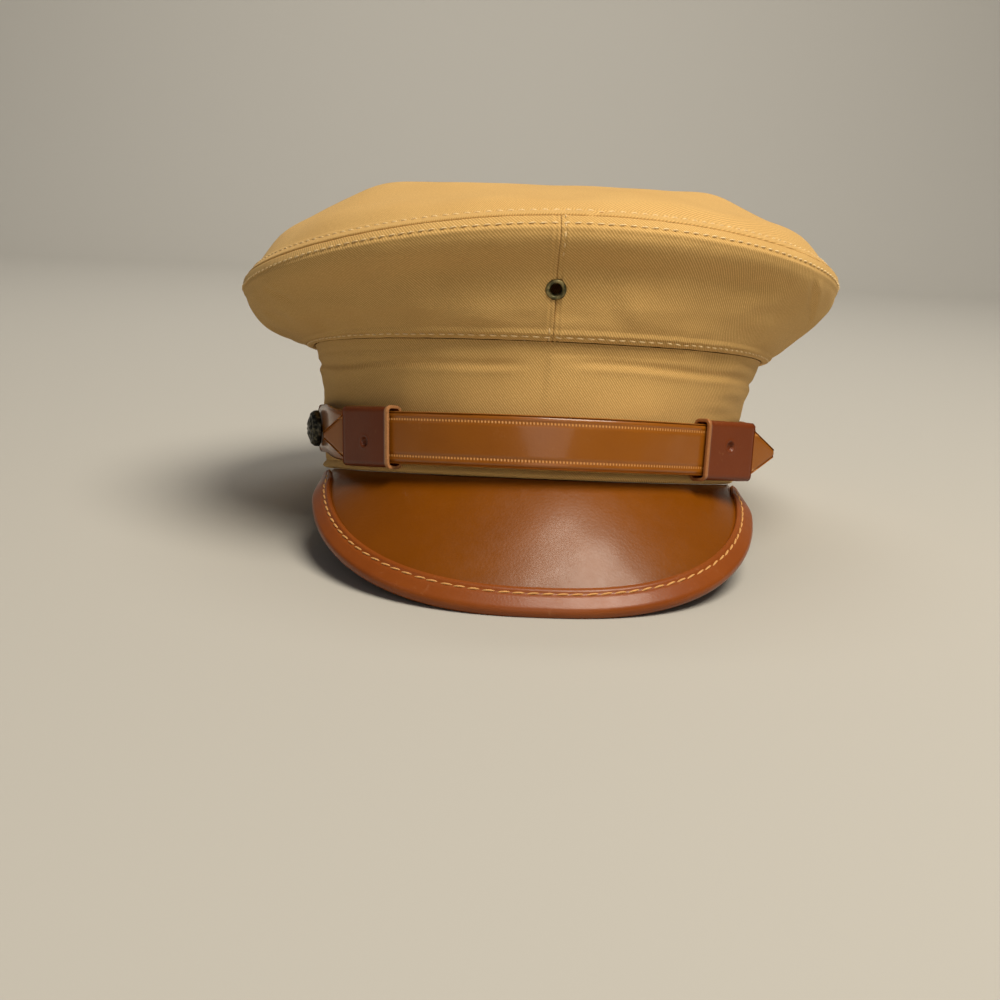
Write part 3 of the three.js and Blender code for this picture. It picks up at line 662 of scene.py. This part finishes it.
def leather(name, light, dark, roughness, grain, coat=0.0, wear=0.0, edge=None, beads=None):
    """Vegetable-tanned leather: a fine closed grain under polish, clouded tone, and rubbed marks.

    An edge is (lowest, highest, colour): the stretch of the map's second axis, in mm, where the
    cut side of the leather shows raw. Beads are (middle, spread, pitch): two tooled lines, each
    the spread away from the middle of the map's second axis, whose beads get a painted highlight.
    """
    add, finish = new_material(name)
    place = add("TexCoord").outputs["Object"]
    cloud = add("TexNoise", {"Vector": place, "Scale": 28.0, "Detail": 5.0, "Roughness": 0.6})
    pores = add("TexVoronoi", {"Vector": place, "Scale": grain}, feature="F1")
    marks = add("TexNoise", {"Vector": place, "Scale": 190.0, "Detail": 5.0, "Roughness": 0.7})
    tone = add("Mix", {
        0: cloud.outputs["Fac"], 6: linear(dark), 7: linear(light),
    }, data_type="RGBA").outputs[2]
    if wear:
        rubbed = add("MapRange", {
            "Value": marks.outputs["Fac"], "From Min": 0.62, "From Max": 0.78, "To Max": wear,
        })
        tone = add("Mix", {
            0: rubbed.outputs[0], 6: tone, 7: linear("#b98458"),
        }, data_type="RGBA").outputs[2]
    if edge or beads:
        chart = add("UVMap", uv_map="cut").outputs["UV"]
        across = add("SeparateXYZ", {0: chart}).outputs["Y"]

    def away_from(value, limit):
        """How far a value lies from a limit, on either side of it."""
        off = add("Math", {0: value, 1: limit}, operation="SUBTRACT")
        return add("Math", {0: off.outputs[0]}, operation="ABSOLUTE").outputs[0]

    if edge:
        half = (edge[1] - edge[0]) / 2
        raw = add("MapRange", {
            "Value": away_from(across, (edge[0] + edge[1]) / 2),
            "From Min": half + 0.1, "From Max": half - 0.1, "To Max": 0.95,
        })
        fibre = add("TexNoise", {"Vector": place, "Scale": 1500.0, "Detail": 3.0})
        flesh = add("Mix", {
            0: fibre.outputs["Fac"], 6: linear("#8a5a34"), 7: linear(edge[2]),
        }, data_type="RGBA")
        tone = add("Mix", {
            0: raw.outputs[0], 6: tone, 7: flesh.outputs[2],
        }, data_type="RGBA").outputs[2]
    # Painted highlight: a light orange painted on the tooled beads, in dots at the beads' pitch.
    if beads:
        line = add("MapRange", {
            "Value": away_from(away_from(across, beads[0]), beads[1]),
            "From Min": 0.55, "From Max": 0.2, "To Max": 0.8,
        })
        bead_highlight_dots = add("TexWave", {
            "Vector": chart, "Scale": WAVE_PERIOD / beads[2], "Phase Offset": math.pi / 2,
        })
        lit = add("Math", {0: line.outputs[0], 1: bead_highlight_dots.outputs["Fac"]}, operation="MULTIPLY")
        tone = add("Mix", {
            0: lit.outputs[0], 6: tone, 7: linear("#e0a05a"),
        }, data_type="RGBA").outputs[2]
    gloss = add("MapRange", {
        "Value": marks.outputs["Fac"], "From Min": 0.3, "From Max": 0.75,
        "To Min": roughness - 0.05, "To Max": roughness + 0.08,
    })
    height = add("Math", {
        0: pores.outputs["Distance"], 1: 0.5, 2: marks.outputs["Fac"],
    }, operation="MULTIPLY_ADD")
    relief = add("Bump", {
        "Height": height.outputs[0], "Strength": 0.16, "Distance": 0.0003,
    })
    return finish(add("BsdfPrincipled", {
        "Base Color": tone, "Roughness": gloss.outputs[0], "Normal": relief.outputs[0],
        "Coat Weight": coat, "Coat Roughness": 0.12, "IOR": 1.48, "Specular IOR Level": 0.3,
    }))


def visor_edge(share):
    """The visor's edge: a superellipse in a plane that falls to the front, drawn in at its ends."""
    turn = math.pi / 2 * share
    reach = HALF_LENGTH + VISOR_REACH - VISOR_END_BACK
    across = np.abs(np.sin(turn)) / VISOR_HALF_WIDTH
    forward = np.abs(np.cos(turn)) / reach
    radius = (across**VISOR_SQUARENESS + forward**VISOR_SQUARENESS) ** (-1 / VISOR_SQUARENESS)
    run = radius * np.cos(turn) / reach
    x = radius * np.sin(turn) - VISOR_END_PULL * (1 - smooth(run, 0, 0.25)) * np.sign(share)
    z = -VISOR_END_DROP - (VISOR_DROP - VISOR_END_DROP) * run
    return np.stack([x, -VISOR_END_BACK - reach * run, z], axis=-1)


def visor_middle(share, out):
    """The visor's middle surface: a straight run from its root to its edge, with a swell."""
    share, out = np.broadcast_arrays(share, out)
    root = oval(VISOR_ANGLE * share, -GAP - VISOR_WALL * 0.3, -VISOR_WALL / 2)
    swell = VISOR_SWELL * 4 * out * (1 - out) * np.cos(math.pi / 2 * share)
    flat = oval(VISOR_ANGLE * share, 0.0, 1.0) - oval(VISOR_ANGLE * share, 0.0, 0.0)
    place = root + (visor_edge(share) - root) * out[..., None]
    return place + swell[..., None] * (0.8 * flat + np.array((0, 0, 0.6)))


def visor_facing(share, out, step=0.004):
    """The upper side's normal: a step down the visor crossed with a step along it."""
    along = visor_middle(share + step, out) - visor_middle(share - step, out)
    down = visor_middle(share, out + step) - visor_middle(share, out - step)
    return unit(np.cross(down, along))


visor_shares = np.linspace(-1, 1, VISOR_AROUND)[:, None]
visor_outs = np.linspace(0, 1, VISOR_DOWN)[None, :]
visor_grid = visor_middle(visor_shares, visor_outs)
visor_up = visor_facing(visor_shares, visor_outs)
visor_walk = np.stack([lengths(visor_grid, 0), lengths(visor_grid, 1)], axis=-1)
visor_dents = ripples(visor_walk[..., 0], visor_walk[..., 1], 41, (25, 70), 0.10)
visor_top = visor_grid + visor_up * (VISOR_WALL / 2 + visor_dents)[..., None]
visor_leather = leather("harness_leather_visor", "#824602", "#6b3700", 0.34, 900.0, coat=0.1)
surface("visor_shell", visor_top[:, ::-1], visor_walk, visor_leather, "visor_leather", ["visor"],
        wall=VISOR_WALL)


# Visor binding
# A strip of softer red-brown leather folded over the visor's edge and sewn through all three
# layers with waxed thread, five millimetres to the stitch.
BINDING_WALL, BINDING_LIP, BINDING_STITCH = 1.3, 7.5, 5.0
BINDING_PITCH, BINDING_LENGTH, BINDING_THREAD = 5.0, 4.5, 0.75
BINDING_AROUND, BINDING_FLAT, BINDING_NOSE = 301, 18, 20


def binding_points():
    """Ring sections round the edge: outer skin from lower lip to upper lip, and back inside."""
    share = np.linspace(-0.985, 0.985, BINDING_AROUND)[:, None]
    half = VISOR_WALL / 2 + GAP + BINDING_WALL
    span = np.linalg.norm(visor_middle(share, 1.0) - visor_middle(share, 0.0), axis=-1)
    lip = np.minimum(BINDING_LIP, span * 0.55) / span
    edge, up = visor_middle(share, 1.0), visor_facing(share, 1.0)
    outward = unit(edge - visor_middle(share, 0.996))
    flats = np.linspace(1, 0, BINDING_FLAT)[None, :-1]
    nose = np.linspace(-1, 1, BINDING_NOSE)[None, :] * math.pi / 2
    inner = VISOR_WALL / 2 + GAP * 0.4

    def lip_rows(side, lift, soft):
        """One lip lifted off the visor, less a soft share of its stitch channel and thin edge."""
        out = 1 - lip * flats
        fold = BINDING_LIP * flats
        sunk = 0.35 * hump(fold - BINDING_STITCH, 0.8) + 0.55 * hump(fold - BINDING_LIP, 0.7)
        rise = side * (lift - soft * sunk)
        return visor_middle(share, out) + visor_facing(share, out) * rise[..., None]

    def nose_rows(size):
        """The fold round the visor's edge: edge + size * (sine up, cosine outward)."""
        return edge + up * (size * np.sin(nose))[..., None] + outward * (size * np.cos(nose))[..., None]

    outer, inside = (
        np.concatenate([lip_rows(-1, size, soft), nose_rows(size), lip_rows(1, size, soft)[:, ::-1]], axis=1)
        for size, soft in ((half, 1), (inner, 0))
    )
    points = np.concatenate([outer, inside[:, ::-1]], axis=1)
    walk = np.stack([lengths(points, 0), lengths(points, 1)], axis=-1)
    return points, np.concatenate([walk, walk[:, :1]], axis=1), half


binding_grid, binding_chart, binding_half = binding_points()
binding_leather = leather("calf_leather_binding", "#8f4b17", "#77370d", 0.36, 1100.0, coat=0.1, wear=0.3)
surface("binding_strip", binding_grid, binding_chart, binding_leather, "binding_leather",
        ["visor_binding"], ring=(False, True))
waxed_thread = thread("waxed_linen_thread", "#e2a25c")
stitch_shares = np.linspace(-0.93, 0.93, 400)
stitch_span = np.linalg.norm(visor_middle(stitch_shares, 1.0) - visor_middle(stitch_shares, 0.0), axis=-1)
stitch_out = 1 - np.minimum(BINDING_STITCH, stitch_span * 0.4) / stitch_span
stitch_up = visor_facing(stitch_shares, stitch_out)
for side, name in ((1, "upper"), (-1, "lower")):
    line = visor_middle(stitch_shares, stitch_out) + side * stitch_up * (binding_half - 0.3)
    stitches(f"binding_stitches_{name}", line, side * stitch_up, BINDING_PITCH, BINDING_LENGTH,
             BINDING_THREAD, waxed_thread, "binding_leather", tilt=0.1 * side)


# Straps
# Two layers of russet leather strap, 19 mm wide, with a beaded line tooled along each edge of
# the upper one. Both lie against the band, run through the keepers, and the lower one is
# buttoned to the band at both ends.
STRAP_WIDTH, STRAP_RISE, STRAP_LEAN = 19.05, 3.3, 0.06
UNDER_WALL, FRONT_WALL, TIP_LENGTH, TIP_END_WIDTH = 1.6, 1.8, 13.7, 3.6
KEEPER_WALL, KEEPER_WIDTH, KEEPER_CORNER, KEEPER_HOLE = 1.3, 26.0, 2.0, 1.7
BEAD_PITCH, BEAD_IN = 1.25, 2.9
KEEPER_BACK = 0.8 + 2 * GAP
UNDER_FACE = KEEPER_BACK + KEEPER_WALL + GAP + UNDER_WALL
FRONT_FACE = UNDER_FACE + GAP + FRONT_WALL
KEEPER_FACE = FRONT_FACE + GAP + KEEPER_WALL
# Painted light: the left keeper's tones are lighter than the right's because it lies nearer the lamp, and
# the right keeper's raw edge, which faces the lamp, is lighter than the left's.
strap_sides = [
    {"name": "right", "side": -1, "keeper": 60.0, "straight": 73.0, "hole": -2.0, "raw": "#d39a66",
     "leather_tones_and_painted_light": ("#6e3312", "#53240b")},
    {"name": "left", "side": 1, "keeper": 68.0, "straight": 55.0, "hole": 1.7, "raw": "#b87a48",
     "leather_tones_and_painted_light": ("#773610", "#5f290a")},
]
right_side, left_side = strap_sides

station_angle = np.radians(np.arange(0, 90.25, 0.25))
station_walk = lengths(oval(station_angle, 0.0, KEEPER_FACE), 0)


def on_strap(distance, offset, height):
    """A place on the strap: signed distance from the middle of the front, a layer's offset from
    the head oval, and height. Past its straight point each end runs on along the tangent."""
    distance, offset, height = np.broadcast_arrays(distance, offset, height)
    side = np.where(distance < 0, -1.0, 1.0)
    straight = np.where(distance < 0, right_side["straight"], left_side["straight"])
    angle = side * np.interp(np.minimum(np.abs(distance), straight), station_walk, station_angle)
    level = STRAP_RISE + height
    place = oval(angle, level, offset + STRAP_LEAN * height)
    normal = oval(angle, level, 1.0) - oval(angle, level, 0.0)
    tangent = np.stack([-normal[..., 1], normal[..., 0], 0 * side], axis=-1)
    past = side * np.maximum(np.abs(distance) - straight, 0)
    return place + tangent * past[..., None]


def strap_section(width, wall, tooled):
    """Share across the width and depth behind the face, once round: face, edge, back, edge."""
    face = np.linspace(-1, 1, 75 if tooled else 21)
    edge = np.linspace(0, math.pi, 9)[1:-1]
    back = np.linspace(1, -1, 9)
    share = np.concatenate([face, 1 + 0 * edge, back, -1 + 0 * edge])
    round_edge = wall / 2 * (1 - np.cos(edge))
    depth = np.concatenate([0 * face, round_edge, wall + 0 * back, wall - round_edge])
    bulge = np.concatenate([0 * face, np.sin(edge), 0 * back, np.sin(edge)])
    return share[None, :], depth[None, :], bulge[None, :]


def front_strap_points():
    """The upper strap: rounded edges, two beaded lines, and a point at each end."""
    right = right_side["keeper"] + KEEPER_WIDTH
    left = left_side["keeper"] + KEEPER_WIDTH
    tips = np.linspace(0, TIP_LENGTH, 32)
    middle = np.arange(-right, left, BEAD_PITCH / 4)
    distance = np.concatenate([-right - tips[:0:-1], middle, left + tips])[:, None]
    past = np.maximum(np.maximum(-right - distance, distance - left), 0) / TIP_LENGTH
    width = STRAP_WIDTH * (1 - past * (1 - TIP_END_WIDTH / STRAP_WIDTH))
    share, depth, bulge = strap_section(STRAP_WIDTH, FRONT_WALL, True)
    across = share * (width / 2 - 0.45)
    height = STRAP_WIDTH / 2 + across + np.sign(share) * 0.45 * bulge
    on_face = (depth == 0) * 1.0
    from_edge = width / 2 - np.abs(across)
    rim = -0.75 * hump(from_edge, 0.9)
    line = STRAP_WIDTH / 2 - BEAD_IN - np.abs(across)
    beads = 0.34 * hump(line, 0.36) * (0.5 + 0.5 * np.cos(2 * math.pi * distance / BEAD_PITCH))
    groove = -0.3 * hump(line, 0.75)
    tooled = (1 - smooth(past, 0.02, 0.16)) * smooth(from_edge, 0.6, 1.6)
    relief = on_face * (rim + (beads + groove) * tooled)
    relief = relief + on_face * ripples(distance, across, 51, (12, 60), 0.07)
    points = on_strap(distance, FRONT_FACE - depth + relief, height)
    chart = np.stack(np.broadcast_arrays(distance, height), axis=-1)
    return points, np.concatenate([chart, chart[:, :1]], axis=1)


def capped(points, chart):
    """Closes both open ends of a ring-section grid by drawing one more row in to its middle."""
    first = points[:1].mean(axis=1, keepdims=True) + 0 * points[:1]
    last = points[-1:].mean(axis=1, keepdims=True) + 0 * points[-1:]
    return np.concatenate([first, points, last]), np.concatenate([chart[:1], chart, chart[-1:]])


# The beaded strap's leather has a painted highlight on its tooled beads.
bead_highlight_lines = (STRAP_WIDTH / 2, STRAP_WIDTH / 2 - BEAD_IN, BEAD_PITCH)
plain_leather, beaded_leather = (
    leather(name, "#995a13", "#7f4508", 0.33, 1000.0, coat=0.5, wear=0.15, beads=beads)
    for name, beads in (("russet_strap_leather", None), ("russet_strap_leather_painted_bead_highlights", bead_highlight_lines))
)
strap_grid, strap_chart = front_strap_points()
surface("front_strap_leather", *capped(strap_grid, strap_chart), beaded_leather, "strap_leather",
        ["front_strap"], ring=(False, True), sharp=60)


# Lower strap
# The same leather, plain. Past the keepers it comes back to the band, where each round end is
# held by a side button.
BUTTON_ANGLE, BUTTON_LIFT, BUTTON_RADIUS = math.radians(74), 3.0, 7.25
BUTTON_OFFSET = KEEPER_BACK + UNDER_WALL


def button_seat(side):
    """The button's place on the strap's end, the outward normal there, and the way along it."""
    angle = side * BUTTON_ANGLE
    level = STRAP_RISE + BUTTON_LIFT + STRAP_WIDTH / 2
    spot = oval(angle, level, BUTTON_OFFSET + STRAP_LEAN * STRAP_WIDTH / 2)
    normal = oval(angle, 0.0, 1.0) - oval(angle, 0.0, 0.0)
    along = side * np.array((-normal[1], normal[0], 0))
    return spot, unit(normal - np.array((0, 0, STRAP_LEAN))), along


def return_path(row):
    """From the keeper's outer end: a cubic curve back to the band, then flat under the button."""
    side, middle = row["side"], STRAP_WIDTH / 2
    start_at = side * (row["keeper"] + KEEPER_WIDTH)
    start = on_strap(start_at, UNDER_FACE, middle)
    ahead = on_strap(start_at + side, UNDER_FACE, middle) - start
    spot, _, along = button_seat(side)
    landing = spot - along * (BUTTON_RADIUS + GAP)
    reach = np.linalg.norm(landing - start) * 0.4
    t = np.linspace(0, 1, 40)[1:, None]
    curve = (1 - t) ** 3 * start + 3 * (1 - t) ** 2 * t * (start + ahead * reach)
    curve = curve + 3 * (1 - t) * t**2 * (landing - along * reach) + t**3 * landing
    flat = np.linspace(0, BUTTON_RADIUS + GAP + middle * 0.995, 34)[1:, None]
    return np.concatenate([curve, landing + along * flat])


def under_strap_points():
    """The lower strap swept along its path, with round ends and plain rounded edges."""
    ends = [row["side"] * (row["keeper"] + KEEPER_WIDTH) for row in strap_sides]
    across_front = on_strap(np.linspace(*ends, 160), UNDER_FACE, STRAP_WIDTH / 2)
    path = np.concatenate([return_path(right_side)[::-1], across_front, return_path(left_side)])
    walked = lengths(path, 0)
    middle = STRAP_WIDTH / 2
    short = np.clip(middle - np.minimum(walked, walked[-1] - walked), 0, middle * 0.995)[:, None]
    half = np.sqrt(middle**2 - short**2)
    outward = np.cross(unit(np.gradient(path, axis=0)), (0, 0, 1.0))
    share, depth, bulge = strap_section(STRAP_WIDTH, UNDER_WALL, False)
    height = share * half + np.sign(share) * 0.3 * bulge * half / middle - 0.3 * share
    sunk = depth + 0.5 * (depth == 0) * hump(half * (1 - np.abs(share)), 0.7)
    points = path[:, None] + height[..., None] * np.array((0, 0, 1.0))
    points = points + outward[:, None] * (height * STRAP_LEAN - sunk)[..., None]
    chart = np.stack(np.broadcast_arrays(walked[:, None], lengths(points, 1)), axis=-1)
    return points, np.concatenate([chart, chart[:, :1]], axis=1)


surface("under_strap_leather", *capped(*under_strap_points()), plain_leather, "strap_leather",
        ["under_strap"], ring=(False, True), sharp=60)


# Keepers
# A loop of darker leather, 26 mm wide, sewn round both straps so that they can slide. Its cut
# # edge towards the middle shows the raw tan of the hide, and one hole is punched in its face.
# # Both keepers are one leather, but each carries painted light: the left keeper, nearer the lamp,
# # has lighter tones, and the right keeper's cut edge, which faces the lamp, is painted lighter.


def keeper_points(row):
    """Round the straps' rectangle with rounded corners, and across the width with both edges."""
    low, high = -GAP - KEEPER_WALL, STRAP_WIDTH + GAP + KEEPER_WALL
    radius = KEEPER_CORNER
    quarter = np.linspace(0, math.pi / 2, 9)
    corners = [
        (KEEPER_FACE - radius, low + radius, quarter[::-1] - math.pi / 2),
        (KEEPER_BACK + radius, low + radius, quarter[::-1] - math.pi),
        (KEEPER_BACK + radius, high - radius, quarter[::-1] + math.pi / 2),
        (KEEPER_FACE - radius, high - radius, quarter[::-1]),
    ]
    outline = np.concatenate([
        np.stack([x + radius * np.cos(turn), y + radius * np.sin(turn)], axis=-1) for x, y, turn in corners
    ])
    face = np.linspace(high - radius, low + radius, 46)[1:-1]
    outline = np.concatenate([outline, np.stack([KEEPER_FACE + 0 * face, face], axis=-1)])
    ahead = np.roll(outline, -1, 0) - np.roll(outline, 1, 0)
    inward = unit(np.stack([-ahead[:, 1], ahead[:, 0]], axis=-1))
    centre = np.array([(KEEPER_FACE + KEEPER_BACK) / 2, STRAP_WIDTH / 2])
    inward *= np.sign(np.sum(inward * (centre - outline), axis=1, keepdims=True))
    across = np.linspace(0.15, KEEPER_WIDTH - 0.15, 66)
    rim = np.linspace(0, math.pi, 8)[1:-1]
    bulge = 0.15 * np.sin(rim)
    distance = np.concatenate([0.15 - bulge, across, KEEPER_WIDTH - 0.15 + bulge, across[::-5]])
    fall = KEEPER_WALL / 2 * (1 - np.cos(rim))
    depth = np.concatenate([fall[::-1], 0 * across, fall, 0 * across[::-5] + KEEPER_WALL])
    on_face = (depth == 0) * 1.0
    spot = outline[:, None, :] + inward[:, None, :] * depth[None, :, None]
    aside = distance[None, :] - KEEPER_WIDTH / 2
    lift = spot[..., 1] - STRAP_WIDTH / 2 - row["hole"]
    facing = (outline[:, :1] > KEEPER_FACE - 0.01) * on_face[None, :]
    from_hole = np.hypot(aside, lift)
    hole = (1 - smooth(from_hole, KEEPER_HOLE - 0.35, KEEPER_HOLE + 0.25)) * (KEEPER_WALL * 0.95)
    rimmed = 0.12 * hump(from_hole - KEEPER_HOLE - 0.6, 0.4)
    curl = 0.55 * smooth(-distance, -2.6, -0.6) * (distance < KEEPER_WIDTH / 2)
    rounded = curl - 0.3 * on_face * (hump(distance, 0.35) + hump(KEEPER_WIDTH - distance, 0.8))
    push = facing * (rimmed - hole) + rounded[None, :]
    walk = row["side"] * (row["keeper"] + distance)
    offset = spot[..., 0] - inward[:, None, 0] * push
    height = spot[..., 1] - inward[:, None, 1] * push
    points = on_strap(walk[None, :], offset, height)
    way = np.append(lengths(outline, 0), lengths(outline, 0)[-1] + 0.4)
    total = np.append(lengths(np.stack([distance, depth], axis=-1), 0), KEEPER_WIDTH * 2.1)
    chart = np.stack(np.meshgrid(way, total, indexing="ij"), axis=-1)
    return points, chart, total


for row in strap_sides:
    keeper_grid, keeper_chart, total = keeper_points(row)
    # Each keeper's raw-edge colour and tones carry painted light from the lamp on the wearer's left.
    raw_edge_with_painted_light = (-0.5, KEEPER_WALL * 1.55 + 0.9, row["raw"])
    keeper_leather = leather(f"bridle_leather_keeper_with_painted_light_{row['name']}", *row["leather_tones_and_painted_light"], 0.4, 1200.0,
                             coat=0.15, wear=0.25, edge=raw_edge_with_painted_light)
    surface(f"keeper_{row['name']}_loop", keeper_grid, keeper_chart, keeper_leather, "keeper_leather",
            [f"keeper_{row['name']}"], ring=(True, True), sharp=45)


# Side buttons
# Small domed brass buttons with a shank, stamped with a plain beaded border and blackened with
# age except where they are rubbed.
BUTTON_DOME, BUTTON_RIM, SHANK_RADIUS = 3.2, 1.3, 1.5
BORDER_BEADS = 40


def button_relief(radius, turn):
    """A ring of small beads inside the rim and a shallow rosette, fading out to the middle."""
    beads = 0.22 * hump(radius - BUTTON_RADIUS * 0.84, 0.4) * np.cos(BORDER_BEADS / 2 * turn) ** 2
    petals = 0.3 * hump(radius - BUTTON_RADIUS * 0.36, 1.5) * np.cos(4 * turn) ** 2
    relief = beads + petals - 0.15 * hump(radius - BUTTON_RADIUS * 0.7, 0.3)
    return relief * (radius > SHANK_RADIUS + 0.1) * smooth(radius + 0 * turn, 0, 3)


dark_brass = metal("blackened_brass", "#6f6a58", "#26251f", 0.38, 0.58)
button_back = GAP + BUTTON_RADIUS**2 / HALF_WIDTH / 2
shank_end = -(BUTTON_OFFSET + BAND_WALL + 2 * GAP)
dome_radius = np.linspace(BUTTON_RADIUS - 0.2, 0.0, 40)
dome_height = BUTTON_DOME * np.sqrt(np.clip(1 - (dome_radius / BUTTON_RADIUS) ** 2, 0, 1))
button_profile = [(0, shank_end), (SHANK_RADIUS, shank_end), (SHANK_RADIUS, button_back)]
button_profile += [(BUTTON_RADIUS - 0.3, button_back), (BUTTON_RADIUS, button_back + 0.3)]
button_profile += [(BUTTON_RADIUS, button_back + BUTTON_RIM - 0.2)]
button_profile += [(r, button_back + BUTTON_RIM + h) for r, h in zip(dome_radius, dome_height)]
for side, name in ((-1, "right"), (1, "left")):
    spot, up, _ = button_seat(side)
    turned_shape(f"button_{name}_dome", button_profile, frame_at(spot, up), dark_brass, "dark_brass",
                 [f"button_{name}"], relief=button_relief, steps=240)


# Table and backdrop
# A pale matt surface that curves up behind the cap without a corner.
FLOOR_HALF, FLOOR_BACK, SWEEP = 2.2, 1.3, 0.6
add, finish = new_material("pale_matt_paint")
pale_paint = finish(add("BsdfPrincipled", {
    "Base Color": linear("#b3b0a9"), "Roughness": 0.9, "Specular IOR Level": 0.2,
}))
bend = np.linspace(0, math.pi / 2, 40)
sweep_y = np.concatenate([[-2.5], FLOOR_BACK + SWEEP * np.sin(bend), [FLOOR_BACK + SWEEP]])
sweep_z = np.concatenate([[0], SWEEP * (1 - np.cos(bend)), [3.0]])
sides = np.array([-FLOOR_HALF, FLOOR_HALF])[:, None]
backdrop_grid = np.stack(np.broadcast_arrays(sides, sweep_y[None, :], sweep_z[None, :]), axis=-1)
count = len(sweep_y)
backdrop_faces = [(k, count + k, count + k + 1, k + 1) for k in range(count - 1)]
backdrop_mesh = bpy.data.meshes.new("backdrop")
backdrop_mesh.from_pydata(backdrop_grid.reshape(-1, 3).tolist(), [], backdrop_faces)
backdrop_mesh.polygons.foreach_set("use_smooth", np.ones(count - 1, bool))
backdrop_mesh.materials.append(pale_paint)
backdrop = bpy.data.objects.new("backdrop", backdrop_mesh)
scene.collection.objects.link(backdrop)

# Light
# One large lamp in front, above and to the right, so that the welt shades the hollow of the
# crown and the band is bright, with weak fills that leave a soft glow on strap and visor.
lights = [
    {"name": "key", "place": (0.44, -0.62, 1.32), "aim": (0, 0, 0.08), "size": 0.9, "watts": 28.0,
     "colour": "#fff6e6"},
    {"name": "ceiling", "place": (0.10, 0.15, 1.15), "aim": (0, 0, 0.08), "size": 0.7, "watts": 0.8,
     "colour": "#fff8ee"},
    {"name": "front", "place": (0.12, -1.5, 0.42), "aim": (0, -0.05, 0.08), "size": 0.8, "watts": 2.0,
     "colour": "#fff8ee"},
    {"name": "left", "place": (-1.1, -0.55, 0.75), "aim": (0, 0, 0.05), "size": 0.6, "watts": 0.4,
     "colour": "#f1f3ff"},
    {"name": "wall", "place": (0.0, 0.7, 1.5), "aim": (0, 1.9, 0.5), "size": 1.2, "watts": 17.0,
     "colour": "#fffaf2"},
]


def aimed(direction):
    """The turn that points an object's -Z along a direction, with its Y up."""
    return Vector(direction).to_track_quat("-Z", "Y").to_euler()


for row in lights:
    lamp = bpy.data.lights.new(row["name"], "AREA")
    lamp.shape = "DISK"
    lamp.size = row["size"]
    lamp.energy = row["watts"]
    lamp.color = linear(row["colour"])[:3]
    holder = bpy.data.objects.new(row["name"], lamp)
    holder.location = row["place"]
    holder.rotation_euler = aimed(np.array(row["aim"]) - np.array(row["place"]))
    scene.collection.objects.link(holder)
world = bpy.data.worlds.new("soft_room")
world.use_nodes = True
world.node_tree.nodes["Background"].inputs["Color"].default_value = linear("#dfe3ea")
world.node_tree.nodes["Background"].inputs["Strength"].default_value = 0.07
scene.world = world
scene.view_settings.view_transform = "Standard"

# Camera
# It keeps the photograph's angle to the cap: nearly level with the band's foot, 636 mm before
# the middle of the head opening and a little to the wearer's right.
CAMERA_PLACE = (-30.3, -635.9, 8.0)
CAMERA_YAW, CAMERA_PITCH, CAMERA_ROLL = -0.0304, -0.030, 0.0406
FOCAL_PIXELS, IMAGE_PIXELS, SENSOR = 1502.0, 1000.0, 36.0
level_right = np.array((math.cos(CAMERA_YAW), math.sin(CAMERA_YAW), 0))
level = math.cos(CAMERA_PITCH)
forward = np.array((-level_right[1] * level, level_right[0] * level, math.sin(CAMERA_PITCH)))
level_up = np.cross(level_right, forward)
image_right = math.cos(CAMERA_ROLL) * level_right + math.sin(CAMERA_ROLL) * level_up
image_up = np.cross(image_right, forward)
axes = turned(np.stack([image_right, image_up, -forward]))
camera_data = bpy.data.cameras.new("camera")
camera_data.sensor_width = SENSOR
camera_data.lens = SENSOR * FOCAL_PIXELS / IMAGE_PIXELS
camera_data.clip_start = 0.01
camera = bpy.data.objects.new("camera", camera_data)
camera_place = Matrix.Translation(set_down(CAMERA_PLACE).tolist())
camera.matrix_world = camera_place @ Matrix(axes.T.tolist()).to_4x4()
scene.collection.objects.link(camera)
scene.camera = camera
